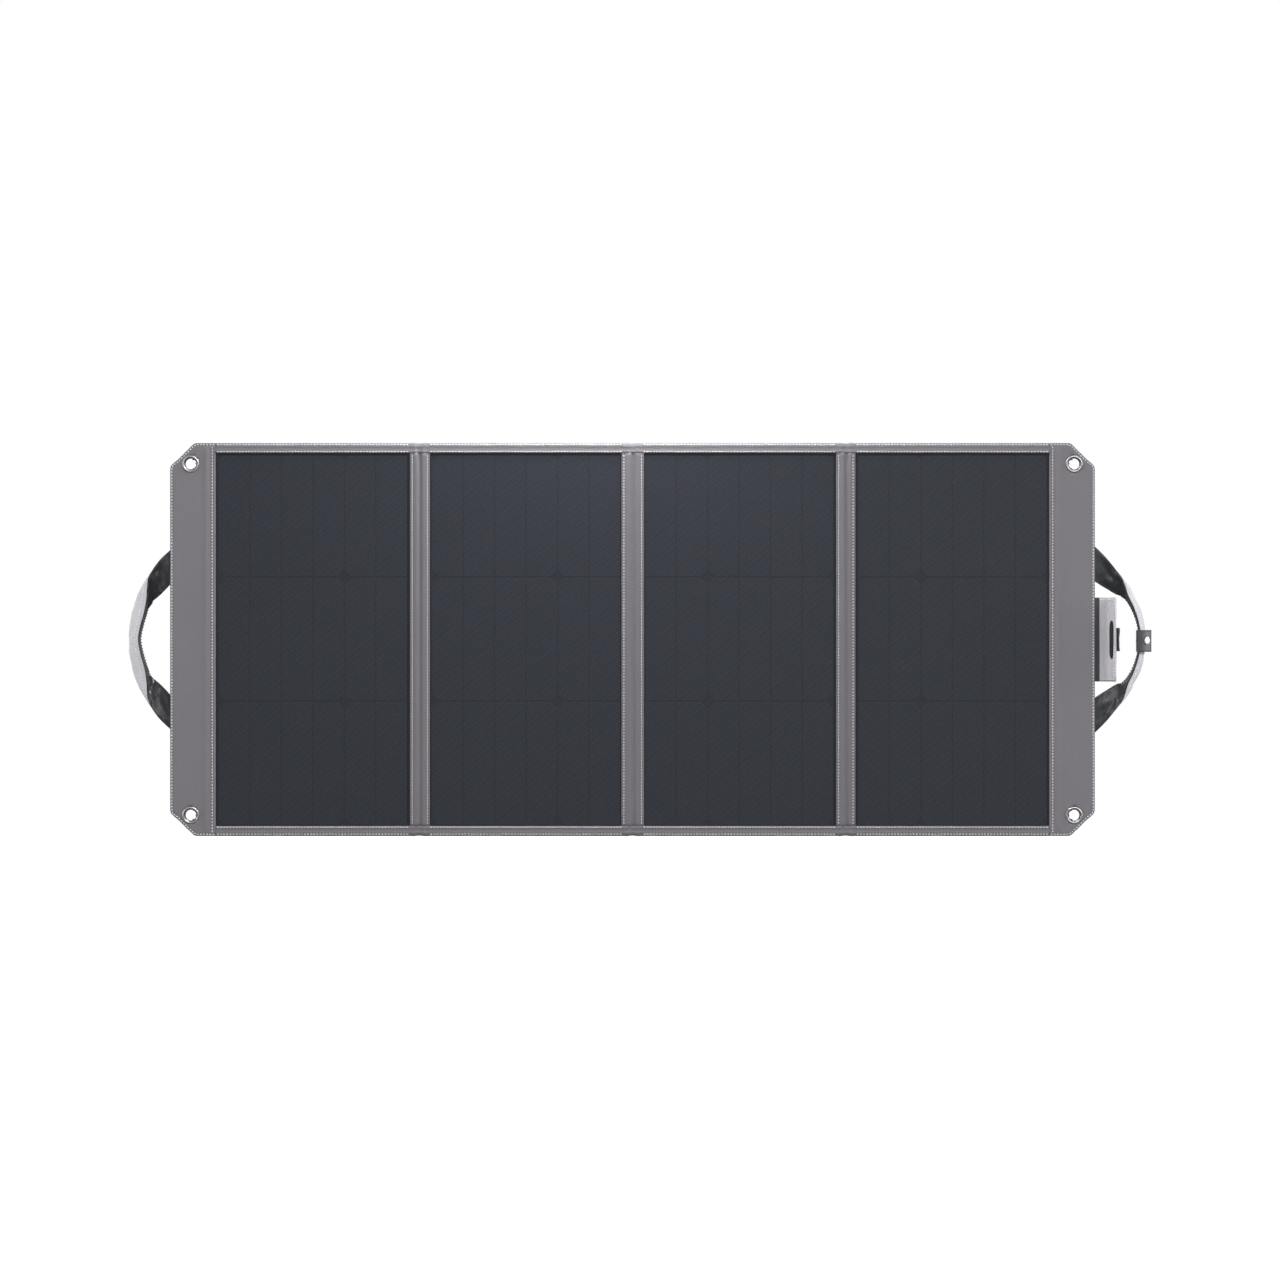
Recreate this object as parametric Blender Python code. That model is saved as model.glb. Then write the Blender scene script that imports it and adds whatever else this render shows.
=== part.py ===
"""Four-fold portable solar panel, hung by the eyelets at its top corners.

Metres, +Z up. The cells face -Y and +X is to the right of someone looking at them. The origin is midway
between the two top eyelets, at half the panel's thickness. Depths are counted from the back cover's outer
face: positive towards the cells, negative behind the panel.
"""

import math

import bmesh
import bpy
from mathutils import Matrix, Vector

# Driving dimensions
WAFER = 0.15675  # the square wafer that each row of four cell strips is cut from
WAFER_CUT = 0.008  # its cropped corner
STRIPS_PER_WAFER = 4
STRIP_GAP = 0.0014
ROW_GAP = 0.00325
ROWS, STRIPS = 3, 6
PANEL_PITCH = 0.275
HEIGHT = 0.507
HALF_WIDTH = 0.595
HEM = 0.013
HINGE_WIDTH = 0.025
BORDER_MARGIN = 0.003  # border fabric between a window and the hinge strip beside it
WINDOW_CORNER = 0.002
LADDER_WIDTH = 0.234  # over both buses of a panel's cell ribbons
LEAD_HALF = 0.004
EYELET_DROP = 0.027  # eyelet centre to the top and bottom edges
EYELET_INSET = 0.0254  # eyelet centre to the side edge
CHAMFER, CHAMFER_ROUND = 0.030, 0.008
GAP = 0.0003
COVER_INSET = 0.0011  # the back cover stops short of the border all round
EYELET_HOLE = 0.0085
RIBBON_HALF = 0.002
FRONT = (0, -1, 0)

# Layers, as depths from the back cover's outer face
BACK_COVER = (0.0, 0.0008)
BACKING_BOARD = (0.0011, 0.0025)
RIBBONS = (0.0028, 0.0031)
ENCAPSULANT = (0.0034, 0.0037)
CELLS = (0.0036, 0.0040)
FRONT_FILM = (0.0043, 0.0048)
BORDER = (0.0011, 0.0057)
FRONT_HINGE = (0.0049, 0.0057)
REAR_HINGE = (-0.0009, -0.0003)
FRONT_FOLD = 0.0072  # fold axis in front of the cells
REAR_FOLD = -0.0015  # fold axis behind the back covers

# Places worked out from them
TOP, BOTTOM = EYELET_DROP, EYELET_DROP - HEIGHT
MIDDLE = (TOP + BOTTOM) / 2
HALF_THICKNESS = BORDER[1] / 2
WINDOW_WIDTH = PANEL_PITCH - HINGE_WIDTH
PANEL_CENTRES = [(k - 1.5) * PANEL_PITCH for k in range(4)]
FOLDS = [(k - 1) * PANEL_PITCH for k in range(3)]
STRIP_WIDTH = WAFER / STRIPS_PER_WAFER

# Handles
STRAP_WIDTH = 0.030
STRAP_WEBBING = (-0.0006, 0.0006)  # offsets from the strap's middle towards its outer face
STRAP_COVER = (0.0009, 0.0017)
ANCHOR = (-0.0019, -GAP)
HANDLE_AXIS = (0.0025, -0.0015)  # beyond the side edge, and depth
LEG_START = 0.0045
HANDLES = {
    "left": {"leg": 0.0965, "reach": 0.049, "lean": 25.6, "pull": 0.038, "flat": 0.034},
    "right": {"leg": 0.098, "reach": 0.062, "lean": 11.5, "pull": 0.048, "flat": 0.040},
}
LEG_ANGLE = math.radians(47)
STATIONS = 20  # along half a handle
TURN_STEPS = 24

# Keeper that gathers both handles
KEEPER_HALF = 0.014
KEEPER_AXIS = (0.0612, 0.0048)
SNAP_RADIUS = 0.006
LEATHER = (-0.0007, 0.0007)

# Closure flap
TONGUE_HALF = 0.0542
TONGUE_BEND = 0.017
TONGUE_TURN = math.radians(78)
TONGUE_END = 0.017
TONGUE_AXIS = (0.0045, -0.0012)
PULL_TAB_HALF = 0.015

# Stands, pouch and electronics
STAND_WIDTH, STAND_HEIGHT, STAND_THICKNESS = 0.180, 0.340, 0.003
STAND_TOP = MIDDLE + 0.215
STAND_DEPTH = -0.0006
POUCH_WIDTH, POUCH_HEIGHT, POUCH_DEPTH, POUCH_WALL = 0.200, 0.095, 0.024, 0.0012
POUCH_TOP = MIDDLE - 0.142
LID_AXIS_DEPTH, LID_SKIN, LID_SKIRT = -0.002, 0.0015, 0.030
CASE_WIDTH, CASE_HEIGHT, CASE_DEPTH, CASE_WALL = 0.082, 0.050, 0.014, 0.0016

COLOURS = {  # colour, roughness, metallic
    "border_fabric": ((0.215, 0.209, 0.226), 0.9, 0.0),
    "back_fabric": ((0.045, 0.046, 0.050), 0.9, 0.0),
    "backing": ((0.30, 0.31, 0.30), 0.6, 0.0),
    "cell": ((0.020, 0.024, 0.034), 0.35, 0.0),
    "copper": ((0.62, 0.60, 0.56), 0.35, 1.0),
    "film": ((0.042, 0.046, 0.060), 0.45, 0.0),
    "nickel": ((0.66, 0.65, 0.63), 0.25, 1.0),
    "webbing": ((0.030, 0.031, 0.034), 0.6, 0.0),
    "light_fabric": ((0.47, 0.46, 0.49), 0.85, 0.0),
    "keeper_leather": ((0.10, 0.10, 0.11), 0.6, 0.0),
    "hook": ((0.035, 0.035, 0.038), 0.95, 0.0),
    "case_plastic": ((0.03, 0.03, 0.032), 0.5, 0.0),
}


def depth_y(depth):
    return HALF_THICKNESS - depth


def clear_scene():
    for obj in list(bpy.data.objects):
        bpy.data.objects.remove(obj)


def collection(name):
    made = bpy.data.collections.new(name)
    bpy.context.scene.collection.children.link(made)
    return made


def materials():
    made = {}
    for name, (colour, roughness, metallic) in COLOURS.items():
        material = bpy.data.materials.new(name)
        material.use_nodes = True
        shader = material.node_tree.nodes["Principled BSDF"]
        shader.inputs["Base Color"].default_value = (*colour, 1.0)
        shader.inputs["Roughness"].default_value = roughness
        shader.inputs["Metallic"].default_value = metallic
        made[name] = material
    return made


class Model:
    """Where new objects go: the collection, the materials and the empties that moving pieces hang from."""

    def __init__(self):
        self.parts = collection("solar_panel")
        self.cutters = collection("cutters")
        self.materials = materials()
        self.bodies = {}

    def body(self, name, place):
        empty = bpy.data.objects.new(f"{name}_pivot", None)
        empty.location = place
        empty.empty_display_size = 0.03
        self.parts.objects.link(empty)
        self.bodies[name] = empty

    def add(self, name, data, material, body, matrix=None):
        """A new object on a body's empty. Each sub-part has a material of its own."""
        obj = bpy.data.objects.new(name, data)
        own = self.materials[material].copy()
        own.name = name
        data.materials.append(own)
        self.parts.objects.link(obj)
        empty = self.bodies[body]
        obj.parent = empty
        obj.matrix_local = Matrix.Translation(-empty.location) @ (matrix or Matrix())
        return obj


def outline_curve(name, outlines, half_thickness):
    """A filled flat outline with holes, extruded both ways along its local Z."""
    curve = bpy.data.curves.new(name, "CURVE")
    curve.dimensions = "2D"
    curve.fill_mode = "BOTH"
    curve.extrude = half_thickness
    for points in outlines:
        spline = curve.splines.new("POLY")
        spline.points.add(len(points) - 1)
        for point, (a, b) in zip(spline.points, points):
            point.co = (a, b, 0, 1)
        spline.use_cyclic_u = True
    return curve


FACING_FRONT = Matrix(((1, 0, 0), (0, 0, -1), (0, 1, 0))).to_4x4()  # local X, Y to world X, Z
ALONG_X = Matrix(((0, 0, 1), (1, 0, 0), (0, 1, 0))).to_4x4()  # local X, Y to world Y, Z


def plate(model, name, outlines, layer, material, body):
    """A flat sheet facing the front, between two depths. Outlines hold (x, z) points."""
    low, high = layer
    curve = outline_curve(name, outlines, (high - low) / 2)
    place = Matrix.Translation((0, depth_y((low + high) / 2), 0))
    return model.add(name, curve, material, body, place @ FACING_FRONT)


def block(name, low, high):
    """A box mesh between two corners."""
    low, high = Vector(low), Vector(high)
    mesh = bpy.data.meshes.new(name)
    shape = bmesh.new()
    size = Matrix.Diagonal((*(high - low), 1))
    bmesh.ops.create_cube(shape, size=1, matrix=Matrix.Translation((low + high) / 2) @ size)
    shape.to_mesh(mesh)
    shape.free()
    return mesh


def sheet(model, name, x_span, z_span, layer, material, body):
    """A plain rectangular sheet between two depths."""
    low = (x_span[0], depth_y(layer[1]), z_span[0])
    high = (x_span[1], depth_y(layer[0]), z_span[1])
    return model.add(name, block(name, low, high), material, body)


def curve_mesh(name, curve, matrix):
    """A filled curve as a closed mesh, in place."""
    obj = bpy.data.objects.new(name, curve)
    bpy.context.scene.collection.objects.link(obj)
    obj.matrix_world = matrix
    bpy.context.view_layer.update()
    mesh = bpy.data.meshes.new_from_object(obj.evaluated_get(bpy.context.evaluated_depsgraph_get()))
    mesh.transform(obj.matrix_world)
    bpy.data.objects.remove(obj)
    shape = bmesh.new()
    shape.from_mesh(mesh)
    bmesh.ops.remove_doubles(shape, verts=shape.verts, dist=0.00001)
    shape.to_mesh(mesh)
    shape.free()
    mesh.materials.clear()
    return mesh


def join(model, obj, tools):
    """Boolean unions of a part with meshes that overlap it."""
    for mesh in tools:
        tool = bpy.data.objects.new(mesh.name, mesh)
        tool.hide_render = True
        tool.display_type = "WIRE"
        model.cutters.objects.link(tool)
        union = obj.modifiers.new(mesh.name, "BOOLEAN")
        union.operation = "UNION"
        union.object = tool


def ribbon_mesh(name, sections, offsets):
    """A loft with an oblong section. A section is its centre, half its width and the direction of its
    outer face, and the offsets are measured from the centre towards that face."""
    shape = bmesh.new()
    inner, outer = offsets
    corners = ((-1, inner), (1, inner), (1, outer), (-1, outer))
    rings = []
    for centre, half, normal in sections:
        rings.append([shape.verts.new(centre + side * half + off * normal) for side, off in corners])
    for ring, after in zip(rings, rings[1:]):
        for i in range(4):
            j = (i + 1) % 4
            if i < 2:  # the inner and outer faces split along the same diagonal, so that strips can nest
                shape.faces.new((ring[i], ring[j], after[j]))
                shape.faces.new((ring[i], after[j], after[i]))
            else:
                shape.faces.new((ring[i], ring[j], after[i]))
                shape.faces.new((ring[j], after[j], after[i]))
    shape.faces.new(rings[0])
    shape.faces.new(rings[-1])
    bmesh.ops.recalc_face_normals(shape, faces=shape.faces)
    mesh = bpy.data.meshes.new(name)
    shape.to_mesh(mesh)
    shape.free()
    return mesh


def turned(model, name, profile, place, axis, material, body):
    """A profile turned about an axis at a place. The profile is a closed loop of (radius, height)."""
    turn = Vector(axis).to_track_quat("Z", "Y").to_matrix().to_4x4()
    matrix = Matrix.Translation(place) @ turn
    shape = bmesh.new()
    ring = [shape.verts.new(matrix @ Vector((r, 0, h))) for r, h in profile]
    edges = [shape.edges.new((a, b)) for a, b in zip(ring, ring[1:] + ring[:1])]
    bmesh.ops.spin(
        shape, geom=ring + edges, cent=place, axis=Vector(axis), angle=math.tau, steps=TURN_STEPS
    )
    bmesh.ops.remove_doubles(shape, verts=shape.verts, dist=0.00001)
    bmesh.ops.recalc_face_normals(shape, faces=shape.faces)
    mesh = bpy.data.meshes.new(name)
    shape.to_mesh(mesh)
    shape.free()
    mesh.shade_smooth()
    return model.add(name, mesh, material, body)


def circle(x, z, radius, count=32):
    return [
        (x + radius * math.cos(math.tau * i / count), z + radius * math.sin(math.tau * i / count))
        for i in range(count)
    ]


def rounded(corners, steps=6):
    """A closed outline with round corners. Each corner is (x, z, radius)."""
    points = []
    for i, (x, z, radius) in enumerate(corners):
        corner = Vector((x, z))
        before = Vector(corners[i - 1][:2])
        after = Vector(corners[(i + 1) % len(corners)][:2])
        if radius == 0:
            points.append((x, z))
            continue
        a, b = (before - corner).normalized(), (after - corner).normalized()
        half = a.angle(b) / 2
        centre = corner + (a + b).normalized() * (radius / math.sin(half))
        start = corner + a * (radius / math.tan(half)) - centre
        turn = math.atan2(b.x * a.y - b.y * a.x, -a.dot(b))
        for k in range(steps + 1):
            c, s = math.cos(turn * k / steps), math.sin(turn * k / steps)
            points.append((centre.x + c * start.x - s * start.y, centre.y + s * start.x + c * start.y))
    return points


def rectangle(x_span, z_span, radius=0.0):
    (x0, x1), (z0, z1) = x_span, z_span
    return rounded([(x0, z0, radius), (x1, z0, radius), (x1, z1, radius), (x0, z1, radius)])


def eyelet_places(side):
    x = side * (HALF_WIDTH - EYELET_INSET)
    return [(x, TOP - EYELET_DROP), (x, BOTTOM + EYELET_DROP)]


def end_outline(side, inner_x, inset):
    """A sheet that runs to the panel's side edge, where its corners are cut at 45 degrees."""
    x = side * (HALF_WIDTH - inset)
    z0, z1 = BOTTOM + inset, TOP - inset
    cut = CHAMFER - inset * (2 - math.sqrt(2))
    return rounded([
        (inner_x, z0, 0),
        (x - side * cut, z0, CHAMFER_ROUND),
        (x, z0 + cut, CHAMFER_ROUND),
        (x, z1 - cut, CHAMFER_ROUND),
        (x - side * cut, z1, CHAMFER_ROUND),
        (inner_x, z1, 0),
    ])


def cell_outline(x, z, cut_left, cut_right):
    """One cell strip, with the wafer's cropped corners on the sides that were the wafer's own."""
    w, h = STRIP_WIDTH / 2, WAFER / 2
    left, right = (WAFER_CUT if cut_left else 0), (WAFER_CUT if cut_right else 0)
    points = [(-w + left, -h), (w - right, -h), (w, -h + right), (w, h - right)]
    points += [(w - right, h), (-w + left, h), (-w, h - left), (-w, -h + left)]
    outline = [(x + a, z + b) for a, b in points]
    return [p for i, p in enumerate(outline) if p != outline[i - 1]]


def panel(model, number):
    """One panel's layers: back cover, board, cell ribbons, cells, front film and border fabric."""
    body = f"panel_{number}"
    centre = PANEL_CENTRES[number - 1]
    side = {1: -1, 4: 1}.get(number)
    window_x = (centre - WINDOW_WIDTH / 2, centre + WINDOW_WIDTH / 2)
    window_z = (BOTTOM + HEM, TOP - HEM)
    for name, margin, inset, layer, material in (
        ("back_cover", 2 * BORDER_MARGIN, COVER_INSET, BACK_COVER, "back_fabric"),
        ("border", BORDER_MARGIN, 0.0, BORDER, "border_fabric"),
    ):
        half = WINDOW_WIDTH / 2 + margin
        if side:
            outlines = [end_outline(side, centre - side * half, inset)]
            outlines += [circle(*place, EYELET_HOLE) for place in eyelet_places(side)]
        else:
            outlines = [rectangle((centre - half, centre + half), (BOTTOM + inset, TOP - inset))]
        if name == "border":
            outlines.append(rectangle(window_x, window_z, WINDOW_CORNER))
        plate(model, f"{name}_{number}", outlines, layer, material, body)

    inner_x = (window_x[0] + 0.001, window_x[1] - 0.001)
    inner_z = (window_z[0] + 0.001, window_z[1] - 0.001)
    sheet(model, f"backing_board_{number}", inner_x, inner_z, BACKING_BOARD, "backing", body)
    ribbons(model, number, centre, body)
    cells(model, number, centre, inner_x, inner_z, body)
    film_x, film_z = ((low + GAP, high - GAP) for low, high in (window_x, window_z))
    film = rectangle(film_x, film_z, WINDOW_CORNER)
    plate(model, f"front_film_{number}", [film], FRONT_FILM, "film", body)


def row_height(row):
    return MIDDLE + (row - (ROWS - 1) / 2) * (WAFER + ROW_GAP)


def ribbons(model, number, centre, body):
    """The flat copper ladder that joins the cells: two rails behind each row, a bus down each side."""
    half, thick = LADDER_WIDTH / 2, 2 * RIBBON_HALF
    rails = sorted(row_height(row) + up * WAFER / 4 for row in range(ROWS) for up in (-1, 1))
    outlines = [rectangle((centre - half, centre + half), (rails[0] - RIBBON_HALF, rails[-1] + RIBBON_HALF))]
    between = (centre - half + thick, centre + half - thick)
    for low, high in zip(rails, rails[1:]):
        outlines.append(rectangle(between, (low + RIBBON_HALF, high - RIBBON_HALF)))
    plate(model, f"cell_ribbons_{number}", outlines, RIBBONS, "copper", body)


def cells(model, number, centre, x_span, z_span, body):
    """The cell strips, bonded to one sheet of encapsulant."""
    first_wafer = 0 if number <= 2 else STRIPS_PER_WAFER // 2
    pitch = STRIP_WIDTH + STRIP_GAP
    outlines = []
    for row in range(ROWS):
        for strip in range(STRIPS):
            x = centre + (strip - (STRIPS - 1) / 2) * pitch
            cut_left = (strip - first_wafer) % STRIPS_PER_WAFER == 0
            cut_right = (strip + 1 - first_wafer) % STRIPS_PER_WAFER == 0
            outlines.append(cell_outline(x, row_height(row), cut_left, cut_right))
    name = f"solar_cells_{number}"
    laminate = sheet(model, name, x_span, z_span, ENCAPSULANT, "cell", body)
    curve = outline_curve(f"cell_strips_{number}", outlines, (CELLS[1] - CELLS[0]) / 2)
    place = Matrix.Translation((0, depth_y(sum(CELLS) / 2), 0)) @ FACING_FRONT
    join(model, laminate, [curve_mesh(f"cell_strips_{number}", curve, place)])


def fold(model, number):
    """What crosses one fold: the front and rear fabric strips and the flat lead inside."""
    x, body = FOLDS[number - 1], f"panel_{number}"
    name = f"{number}_{number + 1}"
    half = HINGE_WIDTH / 2 - BORDER_MARGIN - GAP
    inner, outer = (x - half, x + half), (x - HINGE_WIDTH / 2, x + HINGE_WIDTH / 2)
    inset = (BOTTOM + COVER_INSET, TOP - COVER_INSET)
    z = MIDDLE + (WAFER + ROW_GAP) / 2
    sheet(model, f"hinge_strip_{name}", inner, (BOTTOM, TOP), FRONT_HINGE, "border_fabric", body)
    sheet(model, f"rear_hinge_strip_{name}", outer, inset, REAR_HINGE, "back_fabric", body)
    sheet(model, f"jumper_lead_{name}", inner, (z - LEAD_HALF, z + LEAD_HALF), RIBBONS, "copper", body)


def eyelets(model, side_name, side, body):
    """Nickel eyelets crimped on washers behind the flap."""
    bore, barrel, flange = 0.0076, 0.0082, 0.011
    front, back = BORDER[1] + GAP, -0.0016
    eyelet = [
        (bore, front + 0.0004), (bore + 0.0006, front + 0.0011), (bore + 0.0017, front + 0.0014),
        (flange - 0.0006, front + 0.0009), (flange, front), (barrel, front),
        (barrel, back), (barrel + 0.0012, back), (barrel + 0.0012, back - 0.0006), (bore, back - 0.0006),
    ]
    inside, far = barrel + 0.0004, -0.0013
    washer = [(inside, -GAP), (flange, -GAP), (flange, far + 0.0003), (flange - 0.0005, far), (inside, far)]
    for end, (x, z) in zip(("top", "bottom"), eyelet_places(side)):
        place = (x, depth_y(0), z)
        turned(model, f"eyelet_{side_name}_{end}", eyelet, place, FRONT, "nickel", body)
        turned(model, f"eyelet_washer_{side_name}_{end}", washer, place, FRONT, "nickel", body)


def smooth(value, start, end):
    x = min(max((value - start) / (end - start), 0), 1)
    return x * x * (3 - 2 * x)


def handle_sections(side, shape):
    """The strap leaves the back of the flap flat, turns on edge, and leans as it passes the middle."""
    heading = Vector((math.cos(LEG_ANGLE), 0, -math.sin(LEG_ANGLE)))
    start = Vector((LEG_START, 0, shape["leg"] - LEG_START * math.tan(LEG_ANGLE)))
    reach = Vector((shape["reach"], 0, 0))
    knots = [start, start + shape["pull"] * heading, reach + Vector((0, 0, shape["flat"])), reach]
    turn_end = math.radians(90 + shape["lean"])
    back = Vector((0, 1, 0))
    half_loop = []
    for i in range(STATIONS + 1):
        t = i / STATIONS
        weights = ((1 - t) ** 3, 3 * t * (1 - t) ** 2, 3 * t * t * (1 - t), t ** 3)
        centre = sum((w * p for w, p in zip(weights, knots)), Vector())
        slopes = (-(1 - t) ** 2, (1 - t) * (1 - 3 * t), t * (2 - 3 * t), t * t)
        along = sum((w * p for w, p in zip(slopes, knots)), Vector()).normalized()
        out = Vector((-along.z, 0, along.x))
        turn = turn_end * smooth(t, 0.05, 0.52)
        across = -out * math.cos(turn) + back * math.sin(turn)
        normal = out * math.sin(turn) + back * math.cos(turn)
        across += along * math.tan(LEG_ANGLE) * (1 - smooth(t, 0.0, 0.30))  # cut square with the flap's edge
        centre += back * (-HANDLE_AXIS[1] + STRAP_WIDTH / 2 * math.sin(turn))
        half_loop.append((centre, across * STRAP_WIDTH / 2, normal))
    mirror = Matrix.Diagonal((1, 1, -1))
    loop = half_loop + [(mirror @ c, mirror @ w, mirror @ n) for c, w, n in half_loop[-2::-1]]
    flip = Matrix.Diagonal((side, 1, 1))
    edge = Vector((side * HALF_WIDTH, depth_y(0), MIDDLE))
    return [(edge + flip @ c, flip @ w, flip @ n) for c, w, n in loop]


def handle(model, side_name, side, body):
    shape = HANDLES[side_name]
    heading = Vector((math.cos(LEG_ANGLE), -math.sin(LEG_ANGLE)))
    across = Vector((-heading.y, heading.x)) * STRAP_WIDTH / 2
    cut = STRAP_WIDTH / 2 / math.cos(LEG_ANGLE)
    mouth = Vector((-0.001, shape["leg"]))
    end = mouth - 0.040 * heading
    low = mouth - Vector((0, cut))
    inner = low - heading * (0.012 / heading.x)
    half = [end - across, end + across, mouth + Vector((0, cut)), low, inner]
    outline = [tuple(p) for p in half] + [(p.x, -p.y) for p in half[::-1]]
    anchor = [(side * (HALF_WIDTH + u), MIDDLE + v) for u, v in outline]
    plate(model, f"handle_anchor_{side_name}", [anchor], ANCHOR, "webbing", body)
    sections = handle_sections(side, shape)
    moving = f"handle_{side_name}"
    name = f"handle_webbing_{side_name}"
    model.add(name, ribbon_mesh(name, sections, STRAP_WEBBING), "webbing", moving)
    name = f"handle_cover_{side_name}"
    model.add(name, ribbon_mesh(name, sections, STRAP_COVER), "light_fabric", moving)


def strip_sections(path, half_height):
    """Sections of an upright strip beyond the right edge. The path holds (reach, depth) points."""
    points = [Vector((HALF_WIDTH + u, depth_y(d), 0)) for u, d in path]
    sections = []
    for i, point in enumerate(points):
        before, after = points[max(i - 1, 0)], points[min(i + 1, len(points) - 1)]
        along = (after - before).normalized()
        normal = Vector((-along.y, along.x, 0))
        sections.append((point + Vector((0, 0, MIDDLE)), Vector((0, 0, half_height)), normal))
    return sections


def keeper(model):
    """A leather loop on the right handle, with a snap tab that gathers the other handle too."""
    body, moving = "handle_right", "keeper_tab"
    inner = [(0.0602, 0.0045), (0.0560, -0.0010), (0.0548, -0.0110), (0.0556, -0.0185), (0.0596, -0.0240)]
    band = ribbon_mesh("keeper_band", strip_sections(inner, KEEPER_HALF), LEATHER)
    model.add("keeper_band", band, "keeper_leather", body)
    root, end = Vector((0.0622, 0.0040)), Vector((0.0744, -0.0190))
    path = [tuple(root.lerp(end, i / 4)) for i in range(5)]
    tab = ribbon_mesh("keeper_tab", strip_sections(path, KEEPER_HALF), LEATHER)
    model.add("keeper_tab", tab, "keeper_leather", moving)

    slope = (end - root).normalized()
    outward = Vector((-slope.y, -slope.x, 0))
    snap = root.lerp(end, 0.62)
    place = Vector((HALF_WIDTH + snap.x, depth_y(snap.y), MIDDLE)) + 0.0010 * outward
    axle, rim = 0.0002, SNAP_RADIUS
    dome = [(axle, 0.0), (rim, 0.0), (rim, 0.0006), (rim * 0.8, 0.0014), (axle, 0.0018)]
    turned(model, "snap_cap", dome, place, outward, "nickel", moving)


def tongue_path(start, end, offset=0.0):
    """The closure flap's section between two lengths along it: a bend forwards, then straight."""
    points = []
    steps = 8
    bend = TONGUE_BEND * TONGUE_TURN
    for i in range(steps + 1):
        s = start + (end - start) * i / steps
        turn = min(s, bend) / TONGUE_BEND
        straight = max(s - bend, 0)
        reach = (TONGUE_BEND - offset) * math.sin(turn) + straight * math.cos(TONGUE_TURN)
        rise = TONGUE_BEND - (TONGUE_BEND - offset) * math.cos(turn) + straight * math.sin(TONGUE_TURN)
        points.append((0.0075 + reach, -0.0016 + rise))
    return points


def closure(model):
    """The flap that wraps the folded pack, with its hook patch and pull tab, and the patch it grips."""
    moving = "closure_flap"
    length = TONGUE_BEND * TONGUE_TURN + TONGUE_END
    last, lean = Vector(tongue_path(0.0, length)[-1]), math.radians(52)
    tab_start = last + Vector((0.0016, -0.0070))
    tab = [tuple(tab_start + k * 0.0032 * Vector((math.cos(lean), math.sin(lean)))) for k in range(4)]
    for name, path, half, thickness, material in (
        ("closure_tongue", tongue_path(0.0, length), TONGUE_HALF, 0.0010, "light_fabric"),
        ("closure_hook_patch", tongue_path(length - 0.022, length - 0.004, 0.0018), 0.0245, 0.0005, "hook"),
        ("closure_pull_tab", tab, PULL_TAB_HALF, 0.0007, "webbing"),
    ):
        mesh = ribbon_mesh(name, strip_sections(path, half), (-thickness, thickness))
        model.add(name, mesh, material, moving)
    edge = -HALF_WIDTH
    patch = rectangle((edge + 0.014, edge + 0.036), (MIDDLE - 0.030, MIDDLE + 0.030), 0.004)
    layer = (ANCHOR[0] - GAP - 0.0011, ANCHOR[0] - GAP)
    plate(model, "closure_loop_patch", [patch], layer, "hook", "panel_1")


def stand(model, side_name, centre, body):
    """A stiff stand that swings out from the back, hinged at its top edge."""
    low, high = STAND_DEPTH - STAND_THICKNESS, STAND_DEPTH
    outline = rectangle(
        (centre - STAND_WIDTH / 2, centre + STAND_WIDTH / 2), (STAND_TOP - STAND_HEIGHT, STAND_TOP), 0.010
    )
    plate(model, f"kickstand_{side_name}", [outline], (low, high), "back_fabric", body)


def pouch(model):
    """The cable pouch on the last panel's back, its lid, and the regulator case in it."""
    x, wall = PANEL_CENTRES[3], POUCH_WALL
    x0, x1 = x - POUCH_WIDTH / 2, x + POUCH_WIDTH / 2
    z0, z1 = POUCH_TOP - POUCH_HEIGHT, POUCH_TOP
    near, far = -GAP, -POUCH_DEPTH
    rim = [
        (x0, z0), (x1, z0), (x1, z1), (x1 - wall, z1),
        (x1 - wall, z0 + wall), (x0 + wall, z0 + wall), (x0 + wall, z1), (x0, z1),
    ]
    curve = outline_curve("pouch_rim", [rim], (near - far) / 2)
    middle = Matrix.Translation((0, depth_y((near + far) / 2), 0)) @ FACING_FRONT
    body = model.add("cable_pouch", curve_mesh("cable_pouch", curve, middle), "back_fabric", "panel_4")
    back = block("pouch_back", (x0, depth_y(near), z0), (x1, depth_y(near - wall), z1))
    front = block("pouch_front", (x0, depth_y(far + wall), z0), (x1, depth_y(far), z1))
    join(model, body, [back, front])

    hinge, inner, outer = (depth_y(d) for d in (LID_AXIS_DEPTH, far - GAP, far - GAP - LID_SKIN))
    shelf, roof, hem = z1 + GAP, z1 + GAP + LID_SKIN, z1 - LID_SKIRT
    section = [(hinge, shelf), (hinge, roof), (outer, roof), (outer, hem), (inner, hem), (inner, shelf)]
    curve = outline_curve("pouch_lid", [section], POUCH_WIDTH / 2 + 0.001)
    model.add("pouch_lid", curve, "back_fabric", "pouch_lid", Matrix.Translation((x, 0, 0)) @ ALONG_X)
    case(model, x, z0 + wall + 0.004)


def case(model, x, z):
    """The charge regulator's case: a tray with a gland in its end, and its lid."""
    x0, x1 = x - CASE_WIDTH / 2, x + CASE_WIDTH / 2
    near = -GAP - POUCH_WALL - 0.0008
    far = near - CASE_DEPTH
    tray = [(x0, z), (x1, z), (x1, z + CASE_HEIGHT), (x0, z + CASE_HEIGHT)]
    hollow = rectangle((x0 + CASE_WALL, x1 - CASE_WALL), (z + CASE_WALL, z + CASE_HEIGHT - CASE_WALL))
    plate(model, "regulator_case", [tray, hollow], (far + CASE_WALL + GAP, near), "case_plastic", "panel_4")
    lid = rectangle((x0, x1), (z, z + CASE_HEIGHT), 0.003)
    plate(model, "regulator_lid", [lid], (far, far + CASE_WALL), "case_plastic", "panel_4")


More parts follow.
